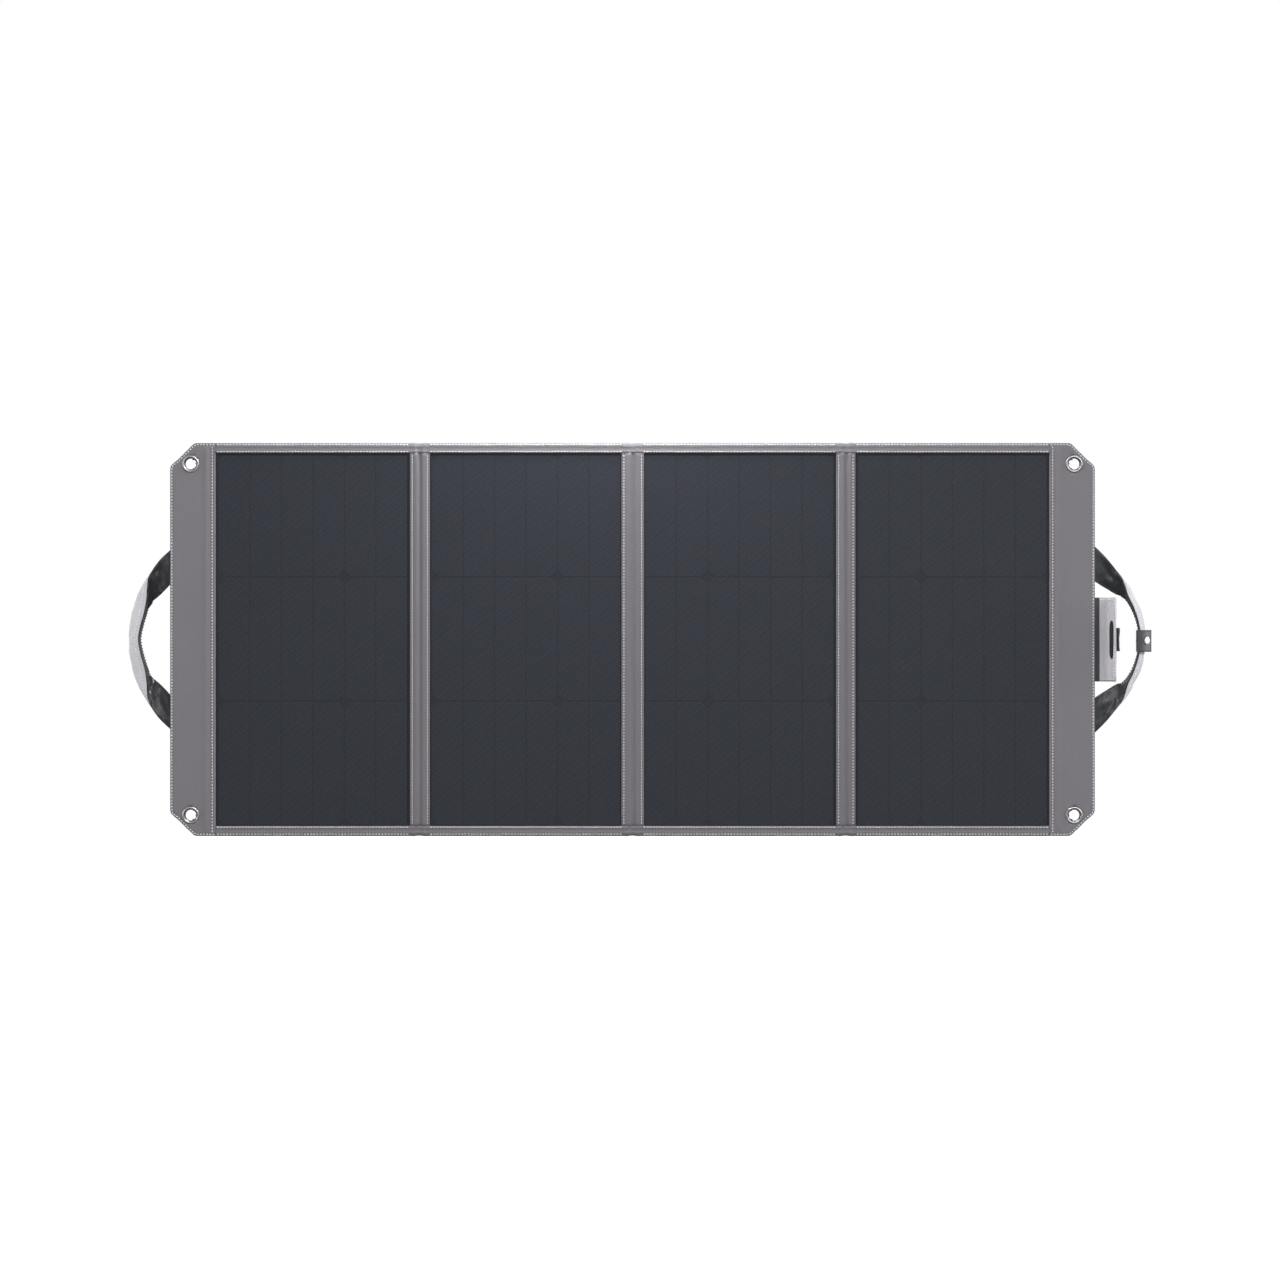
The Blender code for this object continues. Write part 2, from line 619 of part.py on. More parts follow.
def build():
    clear_scene()
    model = Model()
    hinged = [(1, FOLDS[0], FRONT_FOLD), (2, 0.0, 0.0), (3, FOLDS[1], REAR_FOLD), (4, FOLDS[2], FRONT_FOLD)]
    for number, x, depth in hinged:
        model.body(f"panel_{number}", (x, depth_y(depth), MIDDLE))
    for name, side in (("left", -1), ("right", 1)):
        reach, depth = HANDLE_AXIS
        model.body(f"handle_{name}", (side * (HALF_WIDTH + reach), depth_y(depth), MIDDLE))
        centre = PANEL_CENTRES[0 if side < 0 else 3]
        model.body(f"stand_{name}", (centre, depth_y(STAND_DEPTH - STAND_THICKNESS / 2), STAND_TOP))
    model.body("keeper_tab", (HALF_WIDTH + KEEPER_AXIS[0], depth_y(KEEPER_AXIS[1]), MIDDLE))
    model.body("closure_flap", (HALF_WIDTH + TONGUE_AXIS[0], depth_y(TONGUE_AXIS[1]), MIDDLE))
    model.body("pouch_lid", (PANEL_CENTRES[3], depth_y(LID_AXIS_DEPTH), POUCH_TOP + GAP + LID_SKIN))

    for number in (1, 2, 3, 4):
        panel(model, number)
    for number in (1, 2, 3):
        fold(model, number)
    for name, side, body in (("left", -1, "panel_1"), ("right", 1, "panel_4")):
        eyelets(model, name, side, body)
        handle(model, name, side, body)
        stand(model, name, PANEL_CENTRES[0 if side < 0 else 3], f"stand_{name}")
    keeper(model)
    closure(model)
    pouch(model)


build()
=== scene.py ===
"""The looks of a four-fold portable solar panel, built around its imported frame.

Depths run from the back covers' outer face towards the cells, in metres, as in the frame's own design.
"""

import math

import bmesh
import bpy
from mathutils import Matrix, Vector, noise


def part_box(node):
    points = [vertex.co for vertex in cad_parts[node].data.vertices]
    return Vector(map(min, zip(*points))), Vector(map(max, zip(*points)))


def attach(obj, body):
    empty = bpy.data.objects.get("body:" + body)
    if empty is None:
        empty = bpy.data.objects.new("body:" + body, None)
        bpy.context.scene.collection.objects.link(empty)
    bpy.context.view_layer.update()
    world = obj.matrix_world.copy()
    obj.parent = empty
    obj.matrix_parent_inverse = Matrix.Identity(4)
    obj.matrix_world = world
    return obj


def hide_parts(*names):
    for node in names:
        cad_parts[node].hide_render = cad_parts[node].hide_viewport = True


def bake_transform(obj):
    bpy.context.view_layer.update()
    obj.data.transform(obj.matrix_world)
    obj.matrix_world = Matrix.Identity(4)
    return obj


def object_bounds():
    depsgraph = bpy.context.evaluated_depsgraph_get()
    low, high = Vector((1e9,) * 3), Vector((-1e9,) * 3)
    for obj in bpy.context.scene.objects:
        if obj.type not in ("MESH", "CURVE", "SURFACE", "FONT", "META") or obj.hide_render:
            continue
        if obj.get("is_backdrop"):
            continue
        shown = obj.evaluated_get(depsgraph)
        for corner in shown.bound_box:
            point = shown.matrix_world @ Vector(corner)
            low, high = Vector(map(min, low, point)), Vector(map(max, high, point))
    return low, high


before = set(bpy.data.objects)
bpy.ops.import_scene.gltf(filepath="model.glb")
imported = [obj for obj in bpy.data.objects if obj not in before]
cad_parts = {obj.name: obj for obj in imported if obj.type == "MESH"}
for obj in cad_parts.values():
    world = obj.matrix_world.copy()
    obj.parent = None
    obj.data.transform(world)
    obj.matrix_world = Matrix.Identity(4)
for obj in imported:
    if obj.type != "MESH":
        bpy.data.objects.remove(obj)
cad_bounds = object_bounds()

# ---------------------------------------------------------------- places read from the frame

BACK_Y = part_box("back_cover_2")[1][1]
FRONT_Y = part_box("border_2")[0][1]
TOP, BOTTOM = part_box("border_2")[1][2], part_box("border_2")[0][2]
MIDDLE = (TOP + BOTTOM) / 2
HALF_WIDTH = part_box("border_4")[1][0]
BORDER_DEPTH = BACK_Y - FRONT_Y
WINDOW_GAP = 0.0003
WINDOWS = [
    (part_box(f"front_film_{k}")[0][0] - WINDOW_GAP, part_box(f"front_film_{k}")[1][0] + WINDOW_GAP)
    for k in (1, 2, 3, 4)
]
WINDOW_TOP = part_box("front_film_2")[1][2] + WINDOW_GAP
WINDOW_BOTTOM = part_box("front_film_2")[0][2] - WINDOW_GAP
FOLDS = [(WINDOWS[k][1] + WINDOWS[k + 1][0]) / 2 for k in range(3)]
HINGE_HALF = FOLDS[0] - WINDOWS[0][1]
FLAP_INNER = WINDOWS[3][1]
CHAMFER, CHAMFER_ROUND = 0.030, 0.008
STITCH_PITCH = 0.0040
EYELET_HOLE = 0.0092  # radius of the hole cut in the cloth, under the ring
FORWARDS, BACKWARDS = (0, -1, 0), (0, 1, 0)
SIDES = (("left", -1, "panel_1", 1), ("right", 1, "panel_4", 4))

EYELETS = {}
for which_side in ("left", "right"):
    boxes = [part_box(f"eyelet_{which_side}_{which_end}") for which_end in ("top", "bottom")]
    EYELETS[which_side] = [((low[0] + high[0]) / 2, (low[2] + high[2]) / 2) for low, high in boxes]


def at_depth(x, depth, z):
    """A point at a depth from the back covers' outer face."""
    return Vector((x, BACK_Y - depth, z))


def ramp(value, start, end):
    """0 before start, 1 after end, smooth between."""
    x = min(max((value - start) / (end - start), 0.0), 1.0)
    return x * x * (3 - 2 * x)


def hump(value, centre, half_width):
    """A smooth bump, 1 high."""
    x = abs(value - centre) / half_width
    return 0.5 + 0.5 * math.cos(math.pi * x) if x < 1 else 0.0


def wobble(x, z, scale, seed=0.0):
    return noise.noise(Vector((x * scale, z * scale, seed)))


# ---------------------------------------------------------------- materials

class Nodes:
    """A short way to write a material's node tree."""

    def __init__(self, name, colour, roughness, metallic=0.0, sheen=0.0):
        self.material = bpy.data.materials.new(name)
        self.material.use_nodes = True
        self.tree = self.material.node_tree
        self.shader = self.tree.nodes["Principled BSDF"]
        self.shader.inputs["Base Color"].default_value = (*colour, 1.0)
        self.shader.inputs["Roughness"].default_value = roughness
        self.shader.inputs["Metallic"].default_value = metallic
        self.shader.inputs["Sheen Weight"].default_value = sheen
        self.shader.inputs["Sheen Roughness"].default_value = 0.5
        self.colour = colour
        self.place = self.node("ShaderNodeTexCoord").outputs["Object"]

    def node(self, kind, **values):
        made = self.tree.nodes.new(kind)
        for key, value in values.items():
            setattr(made, key, value)
        return made

    def link(self, source, target):
        self.tree.links.new(source, target)

    def math(self, operation, a, b=0.0, clamp=False):
        made = self.node("ShaderNodeMath", operation=operation, use_clamp=clamp)
        for socket, value in zip(made.inputs, (a, b)):
            if isinstance(value, (int, float)):
                socket.default_value = value
            else:
                self.link(value, socket)
        return made.outputs[0]

    def turned(self, degrees):
        """The object's coordinates turned about Y."""
        mapping = self.node("ShaderNodeMapping")
        mapping.inputs["Rotation"].default_value = (0, math.radians(degrees), 0)
        self.link(self.place, mapping.inputs["Vector"])
        return mapping.outputs[0]

    def noise(self, scale, detail=2.0, place=None):
        made = self.node("ShaderNodeTexNoise")
        made.inputs["Scale"].default_value = scale
        made.inputs["Detail"].default_value = detail
        self.link(place or self.place, made.inputs["Vector"])
        return made.outputs["Fac"]

    def wave(self, pitch, direction, place=None, distortion=0.0):
        """Ridges of the given pitch in metres."""
        made = self.node("ShaderNodeTexWave", bands_direction=direction)
        made.inputs["Scale"].default_value = math.tau / (20 * pitch)
        made.inputs["Distortion"].default_value = distortion
        made.inputs["Detail"].default_value = 0.0
        self.link(place or self.place, made.inputs["Vector"])
        return made.outputs["Fac"]

    def tint(self, *layers):
        """Darken or lighten the colour. A layer is a 0 to 1 value and how far it moves the colour."""
        factor = 1.0
        for value, strength in layers:
            shift = self.math("MULTIPLY_ADD", value, strength)
            shift.node.inputs[2].default_value = 1 - strength / 2
            factor = shift if factor == 1.0 else self.math("MULTIPLY", factor, shift)
        scaled = self.node("ShaderNodeVectorMath", operation="SCALE")
        scaled.inputs[0].default_value = self.colour
        self.link(factor, scaled.inputs["Scale"])
        self.link(scaled.outputs[0], self.shader.inputs["Base Color"])

    def rough(self, value, centre, strength):
        shift = self.math("MULTIPLY_ADD", value, strength)
        shift.node.inputs[2].default_value = centre - strength / 2
        self.link(shift, self.shader.inputs["Roughness"])

    def bump(self, *layers):
        """Relief. A layer is a 0 to 1 height and its depth in metres."""
        normal = None
        for height, distance in layers:
            made = self.node("ShaderNodeBump")
            made.inputs["Distance"].default_value = distance
            made.inputs["Strength"].default_value = 1.0
            self.link(height, made.inputs["Height"])
            if normal is not None:
                self.link(normal, made.inputs["Normal"])
            normal = made.outputs[0]
        self.link(normal, self.shader.inputs["Normal"])


def woven(name, colour, roughness, pitch, relief, sheen=0.0, speckle=0.20, blotch=0.07):
    """Plain woven cloth: threads across threads, with slubs and slow colour change."""
    n = Nodes(name, colour, roughness, sheen=sheen)
    warp, weft = n.wave(pitch, "X", distortion=0.4), n.wave(pitch, "Z", distortion=0.4)
    weave = n.math("MULTIPLY", warp, weft)
    grain = n.noise(900.0, 3.0)
    slubs = n.noise(330.0, 2.0)
    n.tint((grain, speckle), (slubs, speckle * 0.8), (n.noise(14.0, 3.0), blotch), (weave, 0.08))
    n.rough(grain, roughness, 0.12)
    n.bump((n.noise(60.0, 3.0), relief * 2), (weave, relief), (grain, relief * 0.6))
    return n.material


def thread_material(name, colour):
    n = Nodes(name, colour, 0.7, sheen=0.2)
    twist = n.wave(0.0008, "DIAGONAL")
    n.tint((twist, 0.25), (n.noise(200.0), 0.2))
    n.bump((twist, 0.00008))
    return n.material


DOT_PITCH = 0.00130


def film_material(name, cool, warm):
    """Textured front film: rows of fine dots set on the diagonal, with cooler and warmer patches."""
    n = Nodes(name, cool, 0.5)
    n.shader.inputs["Specular IOR Level"].default_value = 0.2
    slant = n.turned(45)
    lattice = n.math("MULTIPLY", n.wave(DOT_PITCH, "X", slant), n.wave(DOT_PITCH, "Z", slant))
    ripple = n.math("MULTIPLY", n.wave(0.0052, "X", n.turned(52)), n.wave(0.0071, "Z", n.turned(38)))
    n.tint((n.noise(9.0, 3.0), 0.10), (lattice, 0.75), (n.noise(650.0, 2.0), 0.55), (ripple, 0.14))
    patches = n.node("ShaderNodeMapRange")
    patches.inputs["From Min"].default_value = 0.42
    patches.inputs["From Max"].default_value = 0.66
    n.link(n.noise(160.0, 4.0), patches.inputs["Value"])
    warmth = n.node("ShaderNodeMix", data_type="RGBA", blend_type="MULTIPLY")
    warmth.inputs[7].default_value = (*(w / c for w, c in zip(warm, cool)), 1.0)
    n.link(patches.outputs[0], warmth.inputs[0])
    n.link(n.shader.inputs["Base Color"].links[0].from_socket, warmth.inputs[6])
    n.link(warmth.outputs[2], n.shader.inputs["Base Color"])
    n.rough(n.noise(30.0, 2.0), 0.5, 0.08)
    n.bump((n.noise(5.0, 2.0), 0.0012), (lattice, 0.00007))
    return n.material


def strap_material():
    """Smooth dark strap with a low sheen and fine ribs along it."""
    n = Nodes("strap_dark", (0.018, 0.019, 0.023), 0.36, sheen=0.1)
    grain = n.noise(700.0, 3.0)
    n.tint((grain, 0.3), (n.noise(45.0, 2.0), 0.25))
    n.rough(n.noise(60.0, 2.0), 0.36, 0.2)
    ribs = n.wave(0.0011, "DIAGONAL", distortion=1.0)
    n.bump((n.noise(55.0, 3.0), 0.0012), (ribs, 0.00008), (grain, 0.00005))
    return n.material


def leather_material():
    n = Nodes("keeper_leather", (0.100, 0.101, 0.106), 0.5)
    cells = n.node("ShaderNodeTexVoronoi", feature="DISTANCE_TO_EDGE")
    cells.inputs["Scale"].default_value = 900.0
    n.link(n.place, cells.inputs["Vector"])
    creases = n.math("MULTIPLY", cells.outputs["Distance"], 3.0, clamp=True)
    n.tint((n.noise(90.0, 3.0), 0.25), (creases, 0.15))
    n.rough(creases, 0.5, 0.15)
    n.bump((n.noise(120.0, 2.0), 0.0002), (creases, 0.00010))
    return n.material


def hook_material():
    """Hook tape: rows of tiny hooks."""
    n = Nodes("hook_tape", (0.026, 0.026, 0.030), 0.95)
    rows = n.math("MULTIPLY", n.wave(0.0014, "X"), n.wave(0.0011, "Z"))
    n.tint((rows, 0.6), (n.noise(800.0), 0.3))
    n.bump((rows, 0.0004), (n.noise(1300.0), 0.0002))
    return n.material


def metal_material():
    n = Nodes("nickel", (0.52, 0.515, 0.52), 0.36, metallic=1.0)
    scratches = n.noise(400.0, 4.0)
    n.tint((n.noise(120.0, 2.0), 0.10))
    n.rough(scratches, 0.34, 0.14)
    n.bump((scratches, 0.00002))
    return n.material


def shaded_barrel_material():
    """Nickel inside the ring, dulled, and darkened as painted shade down the hole's bore."""
    n = Nodes("barrel_nickel_painted_shade", (0.16, 0.16, 0.17), 0.35, metallic=1.0)
    n.tint((n.noise(300.0, 2.0), 0.2))
    return n.material


def plastic_material():
    n = Nodes("case_plastic", (0.022, 0.022, 0.024), 0.45)
    grain = n.noise(1500.0, 3.0)
    n.tint((n.noise(40.0), 0.15))
    n.rough(grain, 0.45, 0.1)
    n.bump((grain, 0.00005))
    return n.material


def board_material():
    n = Nodes("fibre_board", (0.28, 0.29, 0.27), 0.6)
    fibres = n.math("MULTIPLY", n.wave(0.002, "X", distortion=2.0), n.wave(0.002, "Z", distortion=2.0))
    n.tint((fibres, 0.15), (n.noise(100.0), 0.1))
    n.bump((fibres, 0.00006))
    return n.material


def copper_material():
    n = Nodes("tinned_ribbon", (0.62, 0.60, 0.56), 0.3, metallic=1.0)
    n.tint((n.noise(300.0), 0.2))
    n.rough(n.noise(500.0), 0.3, 0.2)
    n.bump((n.noise(700.0), 0.00003))
    return n.material


LOOKS = {
    "border": woven("border_cloth", (0.200, 0.192, 0.208), 0.85, 0.00075, 0.00007, sheen=0.10),
    "hinge": woven("hinge_fabric", (0.180, 0.173, 0.187), 0.85, 0.00075, 0.00007, sheen=0.10),
    # The tongue's and the grips' light grey is part the cloth's own lighter tone and part painted sheen.
    "light": woven("light_cloth_and_painted_sheen", (0.60, 0.58, 0.62), 0.8, 0.00080, 0.00008, sheen=0.15),
    "grip": woven("grip_cloth_and_painted_sheen", (0.60, 0.585, 0.62), 0.8, 0.00150, 0.00020, sheen=0.15, speckle=0.3),
    "back": woven("back_cloth", (0.030, 0.031, 0.034), 0.85, 0.00085, 0.00010,
                  sheen=0.2, speckle=0.3, blotch=0.2),
    "tape": woven("dark_tape", (0.058, 0.060, 0.067), 0.7, 0.0010, 0.00014, speckle=0.3),
    "thread": thread_material("light_thread", (0.92, 0.90, 0.94)),
    "dark_thread": thread_material("dark_thread", (0.06, 0.06, 0.065)),
    "cell": film_material("film_over_cells", (0.0345, 0.0395, 0.0545), (0.0365, 0.0385, 0.0490)),
    "gap": film_material("film_between_cells", (0.0300, 0.0330, 0.0430), (0.0315, 0.0320, 0.0385)),
    # A dark strip round each window's edge: painted shade, standing in for the shadow line the raised border
    # casts on the film.
    "seal": film_material("painted_window_shadow", (0.0200, 0.0215, 0.0255), (0.0215, 0.0210, 0.0235)),
    "strap": strap_material(),
    "leather": leather_material(),
    "hook": hook_material(),
    "nickel": metal_material(),
    "barrel": shaded_barrel_material(),
    "plastic": plastic_material(),
    "board": board_material(),
    "ribbon": copper_material(),
}


# ---------------------------------------------------------------- mesh helpers

def piece(name, mesh, look, body, replaced=(), smooth=True):
    """A finished piece in the scene, riding on a body."""
    obj = bpy.data.objects.new(name, mesh)
    bpy.context.scene.collection.objects.link(obj)
    for one in look if isinstance(look, tuple) else (look,):
        mesh.materials.append(LOOKS[one])
    if smooth:
        mesh.shade_smooth()
    if body:
        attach(obj, body)
    if replaced:
        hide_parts(*replaced)
    return obj


def reshaped(mesh, change):
    """Put a mesh through a change to its bmesh."""
    shape = bmesh.new()
    shape.from_mesh(mesh)
    change(shape)
    shape.to_mesh(mesh)
    shape.free()
    return mesh


def face_out(shape):
    bmesh.ops.recalc_face_normals(shape, faces=shape.faces)


def mesh_of(name, verts, faces):
    mesh = bpy.data.meshes.new(name)
    mesh.from_pydata(verts, [], faces)
    mesh.validate()
    return reshaped(mesh, face_out)


def tube_mesh(name, rings, capped=True):
    """Closed rings of points joined one to the next."""
    count = len(rings[0])
    verts = [tuple(p) for ring in rings for p in ring]
    faces = []
    for r in range(len(rings) - 1):
        for i in range(count):
            j = (i + 1) % count
            faces.append((r * count + i, r * count + j, (r + 1) * count + j, (r + 1) * count + i))
    if capped:
        faces.append(tuple(range(count)))
        faces.append(tuple(range((len(rings) - 1) * count, len(rings) * count)))
    return mesh_of(name, verts, faces)


def shell_mesh(name, us, vs, at, skip=None):
    """Two grids of points, at(u, v, outer), joined round the rim: a closed sheet. skip(u, v) leaves holes."""
    faces, edges = [], {}
    nu, nv = len(us), len(vs)
    verts = [tuple(at(u, v, outer)) for outer in (True, False) for v in vs for u in us]
    for j in range(nv - 1):
        for i in range(nu - 1):
            if skip and skip((us[i] + us[i + 1]) / 2, (vs[j] + vs[j + 1]) / 2):
                continue
            quad = (j * nu + i, j * nu + i + 1, (j + 1) * nu + i + 1, (j + 1) * nu + i)
            faces.append(quad)
            faces.append(tuple(q + nu * nv for q in quad[::-1]))
            for a, b in zip(quad, quad[1:] + quad[:1]):
                edges[(a, b)] = edges.get((a, b), 0) + 1
    for a, b in edges:
        if (b, a) not in edges:
            faces.append((b, a, a + nu * nv, b + nu * nv))

    def drop_loose(shape):
        bmesh.ops.delete(shape, geom=[v for v in shape.verts if not v.link_faces], context="VERTS")

    return weld(reshaped(mesh_of(name, verts, faces), drop_loose))


def weld(mesh, reach=0.000002):
    """Join points that coincide, so that the surface closes."""
    def join(shape):
        bmesh.ops.remove_doubles(shape, verts=shape.verts, dist=reach)
        face_out(shape)

    return reshaped(mesh, join)


def spread(start, end, step, marks=()):
    """Even stations from start to end, with extra ones at each mark."""
    count = max(2, round(abs(end - start) / step))
    values = {round(start + (end - start) * i / count, 6) for i in range(count + 1)}
    values |= {round(m, 6) for m in marks if min(start, end) < m < max(start, end)}
    return sorted(values)


THREAD_RADIUS, FINE_THREAD = 0.00060, 0.00026
STITCH_SIDES = 5
STITCH = ((-0.5, -0.9, 0.35), (-0.36, 0.1, 0.9), (0.0, 0.45, 1.0), (0.36, 0.1, 0.9), (0.5, -0.9, 0.35))


def stitch_mesh(name, runs, length=0.0025, radius=THREAD_RADIUS, lift=0.00030):
    """Rows of stitches. A run is its points and the way its cloth faces: each stitch is a thread that
    dips into the cloth at both ends, by STITCH's (place along it, rise, girth)."""
    verts, faces = [], []
    n = STITCH_SIDES
    for points, facing in runs:
        for start, end in zip(points, points[1:]):
            start, end = Vector(start), Vector(end)
            along = (end - start).normalized()
            up = Vector(facing).normalized()
            side = along.cross(up).normalized()
            middle = (start + end) / 2 + up * lift
            base = len(verts)
            for t, rise, girth in STITCH:
                centre = middle + along * (t * length) + up * (rise * radius)
                for k in range(n):
                    turn = math.tau * k / n
                    verts.append(centre + girth * radius * (side * math.cos(turn) + up * math.sin(turn)))
            for r in range(len(STITCH) - 1):
                for k in range(n):
                    a, b = base + r * n + k, base + r * n + (k + 1) % n
                    faces.append((a, b, b + n, a + n))
            faces += [tuple(range(first, first + n)) for first in (base, base + (len(STITCH) - 1) * n)]
    return mesh_of(name, verts, faces)


def sew(name, runs, look, body, slot_name, **thread):
    """Rows of stitches as a piece."""
    return piece(name, stitch_mesh(name, runs, **thread), look, body)


def row(start, end, pitch=STITCH_PITCH):
    start, end = Vector(start), Vector(end)
    count = max(1, round((end - start).length / pitch))
    return [start.lerp(end, i / count) for i in range(count + 1)]


def even(points, pitch=STITCH_PITCH):
    """The same line with stations at an even pitch."""
    points = [Vector(p) for p in points]
    lengths = [0.0]
    for a, b in zip(points, points[1:]):
        lengths.append(lengths[-1] + (b - a).length)
    count = max(1, round(lengths[-1] / pitch))
    found, k = [], 0
    for i in range(count + 1):
        want = lengths[-1] * i / count
        while k < len(points) - 2 and lengths[k + 1] < want:
            k += 1
        share = (want - lengths[k]) / max(lengths[k + 1] - lengths[k], 1e-9)
        found.append(points[k].lerp(points[k + 1], min(share, 1.0)))
    return found


# ---------------------------------------------------------------- front film over the cells

WAFER_CUT, CELL_CORNER = 0.0080, 0.0006
STRIP_PITCH, ROW_PITCH = 0.0406, 0.1600
STRIPS, ROWS = 6, 3
STRIP_GAP, ROW_GAP = 0.0011, 0.0018  # as the film shows them


def cell_outline(x, z, cut_left, cut_right):
    w, h = (STRIP_PITCH - STRIP_GAP) / 2, (ROW_PITCH - ROW_GAP) / 2
    left, right = (WAFER_CUT if cut else CELL_CORNER for cut in (cut_left, cut_right))
    points = [(-w + left, -h), (w - right, -h), (w, -h + right), (w, h - right)]
    points += [(w - right, h), (-w + left, h), (-w, h - left), (-w, -h + left)]
    return [(x + a, z + b) for a, b in points]


def film(number):
    """One panel's film: a flat sheet that rises slightly over each cell strip."""
    x0, x1 = WINDOWS[number - 1]
    centre = (x0 + x1) / 2
    shape = bmesh.new()
    low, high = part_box(f"front_film_{number}")
    size = Vector(high) - Vector(low)
    middle = (Vector(high) + Vector(low)) / 2
    bmesh.ops.create_cube(shape, size=1, matrix=Matrix.Translation(middle) @ Matrix.Diagonal((*size, 1)))
    for face in shape.faces:
        face.material_index = 1
    first = 0 if number <= 2 else 2
    relief, bevel = 0.00012, 0.0005
    for r in range(ROWS):
        z = MIDDLE + (r - 1) * ROW_PITCH
        for s in range(STRIPS):
            x = centre + (s - (STRIPS - 1) / 2) * STRIP_PITCH
            outline = cell_outline(x, z, (s - first) % 4 == 0, (s + 1 - first) % 4 == 0)
            outline = [(a, min(max(b, WINDOW_BOTTOM + 0.0012), WINDOW_TOP - 0.0012)) for a, b in outline]
            outer = [shape.verts.new((a, low[1] + 0.00005, b)) for a, b in outline]
            inner = []
            for a, b in outline:
                pull = Vector((math.copysign(bevel, x - a), 0, math.copysign(bevel, z - b)))
                inner.append(shape.verts.new(Vector((a, low[1] - relief, b)) + pull))
            for i in range(len(outer)):
                j = (i + 1) % len(outer)
                shape.faces.new((outer[i], outer[j], inner[j], inner[i]))
            shape.faces.new(inner)
    mesh = bpy.data.meshes.new(f"film_{number}")
    face_out(shape)
    shape.to_mesh(mesh)
    shape.free()
    piece(f"film_{number}", mesh, ("cell", "gap"), f"panel_{number}", (f"front_film_{number}",),
          smooth=False)

    rings = []
    for inset, rise in ((0.0, 0.0), (0.0, 0.0004), (0.0016, 0.0003), (0.0030, 0.0001), (0.0030, 0.0)):
        sides = (x0 + 0.0001 + inset, x1 - 0.0001 - inset)
        ends = (WINDOW_BOTTOM + 0.0001 + inset, WINDOW_TOP - 0.0001 - inset)
        corners = [(sides[0], ends[0]), (sides[1], ends[0]), (sides[1], ends[1]), (sides[0], ends[1])]
        rings.append([Vector((x, low[1] - rise, z)) for x, z in corners])
    # Painted shade: a dark strip just over the film round the window's edge, for the shadow the border casts
    # there.
    name = f"painted_window_shadow_{number}"
    seal = tube_mesh(name, rings + rings[:1], capped=False)
    piece(name, weld(seal), "seal", f"panel_{number}", smooth=False)


# ---------------------------------------------------------------- hems along the top and bottom

# The folded binding's section: how far it stands from the window's edge, and its depth. A ridge runs
# beside the window, then a valley, then a broad ridge to the outer edge; the last six points are inside.
HEM_PROFILE = (
    (0.0000, 0.0046), (0.0000, 0.0056), (0.0003, 0.0060), (0.0010, 0.0064), (0.0018, 0.0066),
    (0.0026, 0.0065), (0.0032, 0.0062), (0.0038, 0.0061), (0.0050, 0.0060), (0.0062, 0.0059),
    (0.0069, 0.0060), (0.0078, 0.0062), (0.0088, 0.0062), (0.0098, 0.0059), (0.0110, 0.0052),
    (0.0121, 0.0046), (0.0127, 0.0034), (0.0130, 0.0020), (0.0127, 0.0004), (0.0119, -0.0004),
    (0.0106, -0.0008), (0.0060, -0.0009), (0.0020, -0.0009), (0.0010, -0.0007), (0.0010, -0.0003),
    (0.0016, 0.0002), (0.0100, 0.0003), (0.0112, 0.0012), (0.0114, 0.0028), (0.0100, 0.0040),
    (0.0030, 0.0042),
)


def hem(number, end_name, way):
    """The hem of one panel's top or bottom edge, between its hinge strips."""
    x0, x1 = WINDOWS[number - 1]
    edge = WINDOW_TOP if way > 0 else WINDOW_BOTTOM
    rings = []
    start = x0 - (0.0 if number == 1 else 0.0002)
    end = x1 + (0.0 if number == 4 else 0.0002)
    seed = 3.0 * way
    for x in spread(start, end, 0.0011):
        ring = []
        for s, d in HEM_PROFILE:
            on_front = ramp(d, 0.003, 0.005)
            d += on_front * (0.00030 * wobble(x, s * 3, 230, seed) + 0.00012 * wobble(x, 0, 42, seed))
            sewn = hump(s, 0.0016, 0.0022) + hump(s, 0.0100, 0.0026)
            d -= on_front * 0.00034 * sewn * math.cos(math.tau * x / STITCH_PITCH)
            s += 0.00022 * ramp(s, 0.009, 0.0125) * wobble(x, 0, 60, seed + 2)
            ring.append(at_depth(x, d, edge + way * s))
        rings.append(ring)
    name = f"hem_{number}_{end_name}"
    binding = piece(name, tube_mesh(name, rings), "border", f"panel_{number}")
    return binding


def hem_stitches(number):
    x0, x1 = WINDOWS[number - 1]
    runs = []
    for way, edge in ((1, WINDOW_TOP), (-1, WINDOW_BOTTOM)):
        for s, depth, facing, inset in (
            (0.0016, 0.0068, FORWARDS, 0.001), (0.0103, 0.0060, (0, -1, 0.6 * way), 0.001),
            (0.0036, -0.0009, BACKWARDS, 0.0),
        ):
            z = edge + way * s
            runs.append((row(at_depth(x0 + inset, depth, z), at_depth(x1 - inset, depth, z)), facing))
    sew(f"hem_stitches_{number}", runs, "thread", f"panel_{number}", "border_fabric")


# ---------------------------------------------------------------- end flaps

def flap_reach(z):
    """How far out the flap's side edge stands at a height: the cut corners with their rounded ends."""
    t = min(TOP - z, z - BOTTOM)
    r, tangent = CHAMFER_ROUND, CHAMFER_ROUND * math.tan(math.pi / 8)
    drop = r * (1 - math.cos(math.pi / 4))
    if t < drop:
        return HALF_WIDTH - CHAMFER - tangent + math.sqrt(max(r * r - (r - t) ** 2, 0))
    if t < CHAMFER - (r * math.sin(math.pi / 4) - tangent):
        return HALF_WIDTH - CHAMFER + t
    low = CHAMFER + tangent
    if t < low:
        return HALF_WIDTH - r + math.sqrt(max(r * r - (low - t) ** 2, 0))
    return HALF_WIDTH


def edge_distance(x, z):
    """Distance in from the flap's outline."""
    t = min(TOP - z, z - BOTTOM)
    out = flap_reach(z) - x
    slope = 0.7071 if t < CHAMFER else 1.0
    return max(min(t, out * slope, (HALF_WIDTH - x)), 0.0)


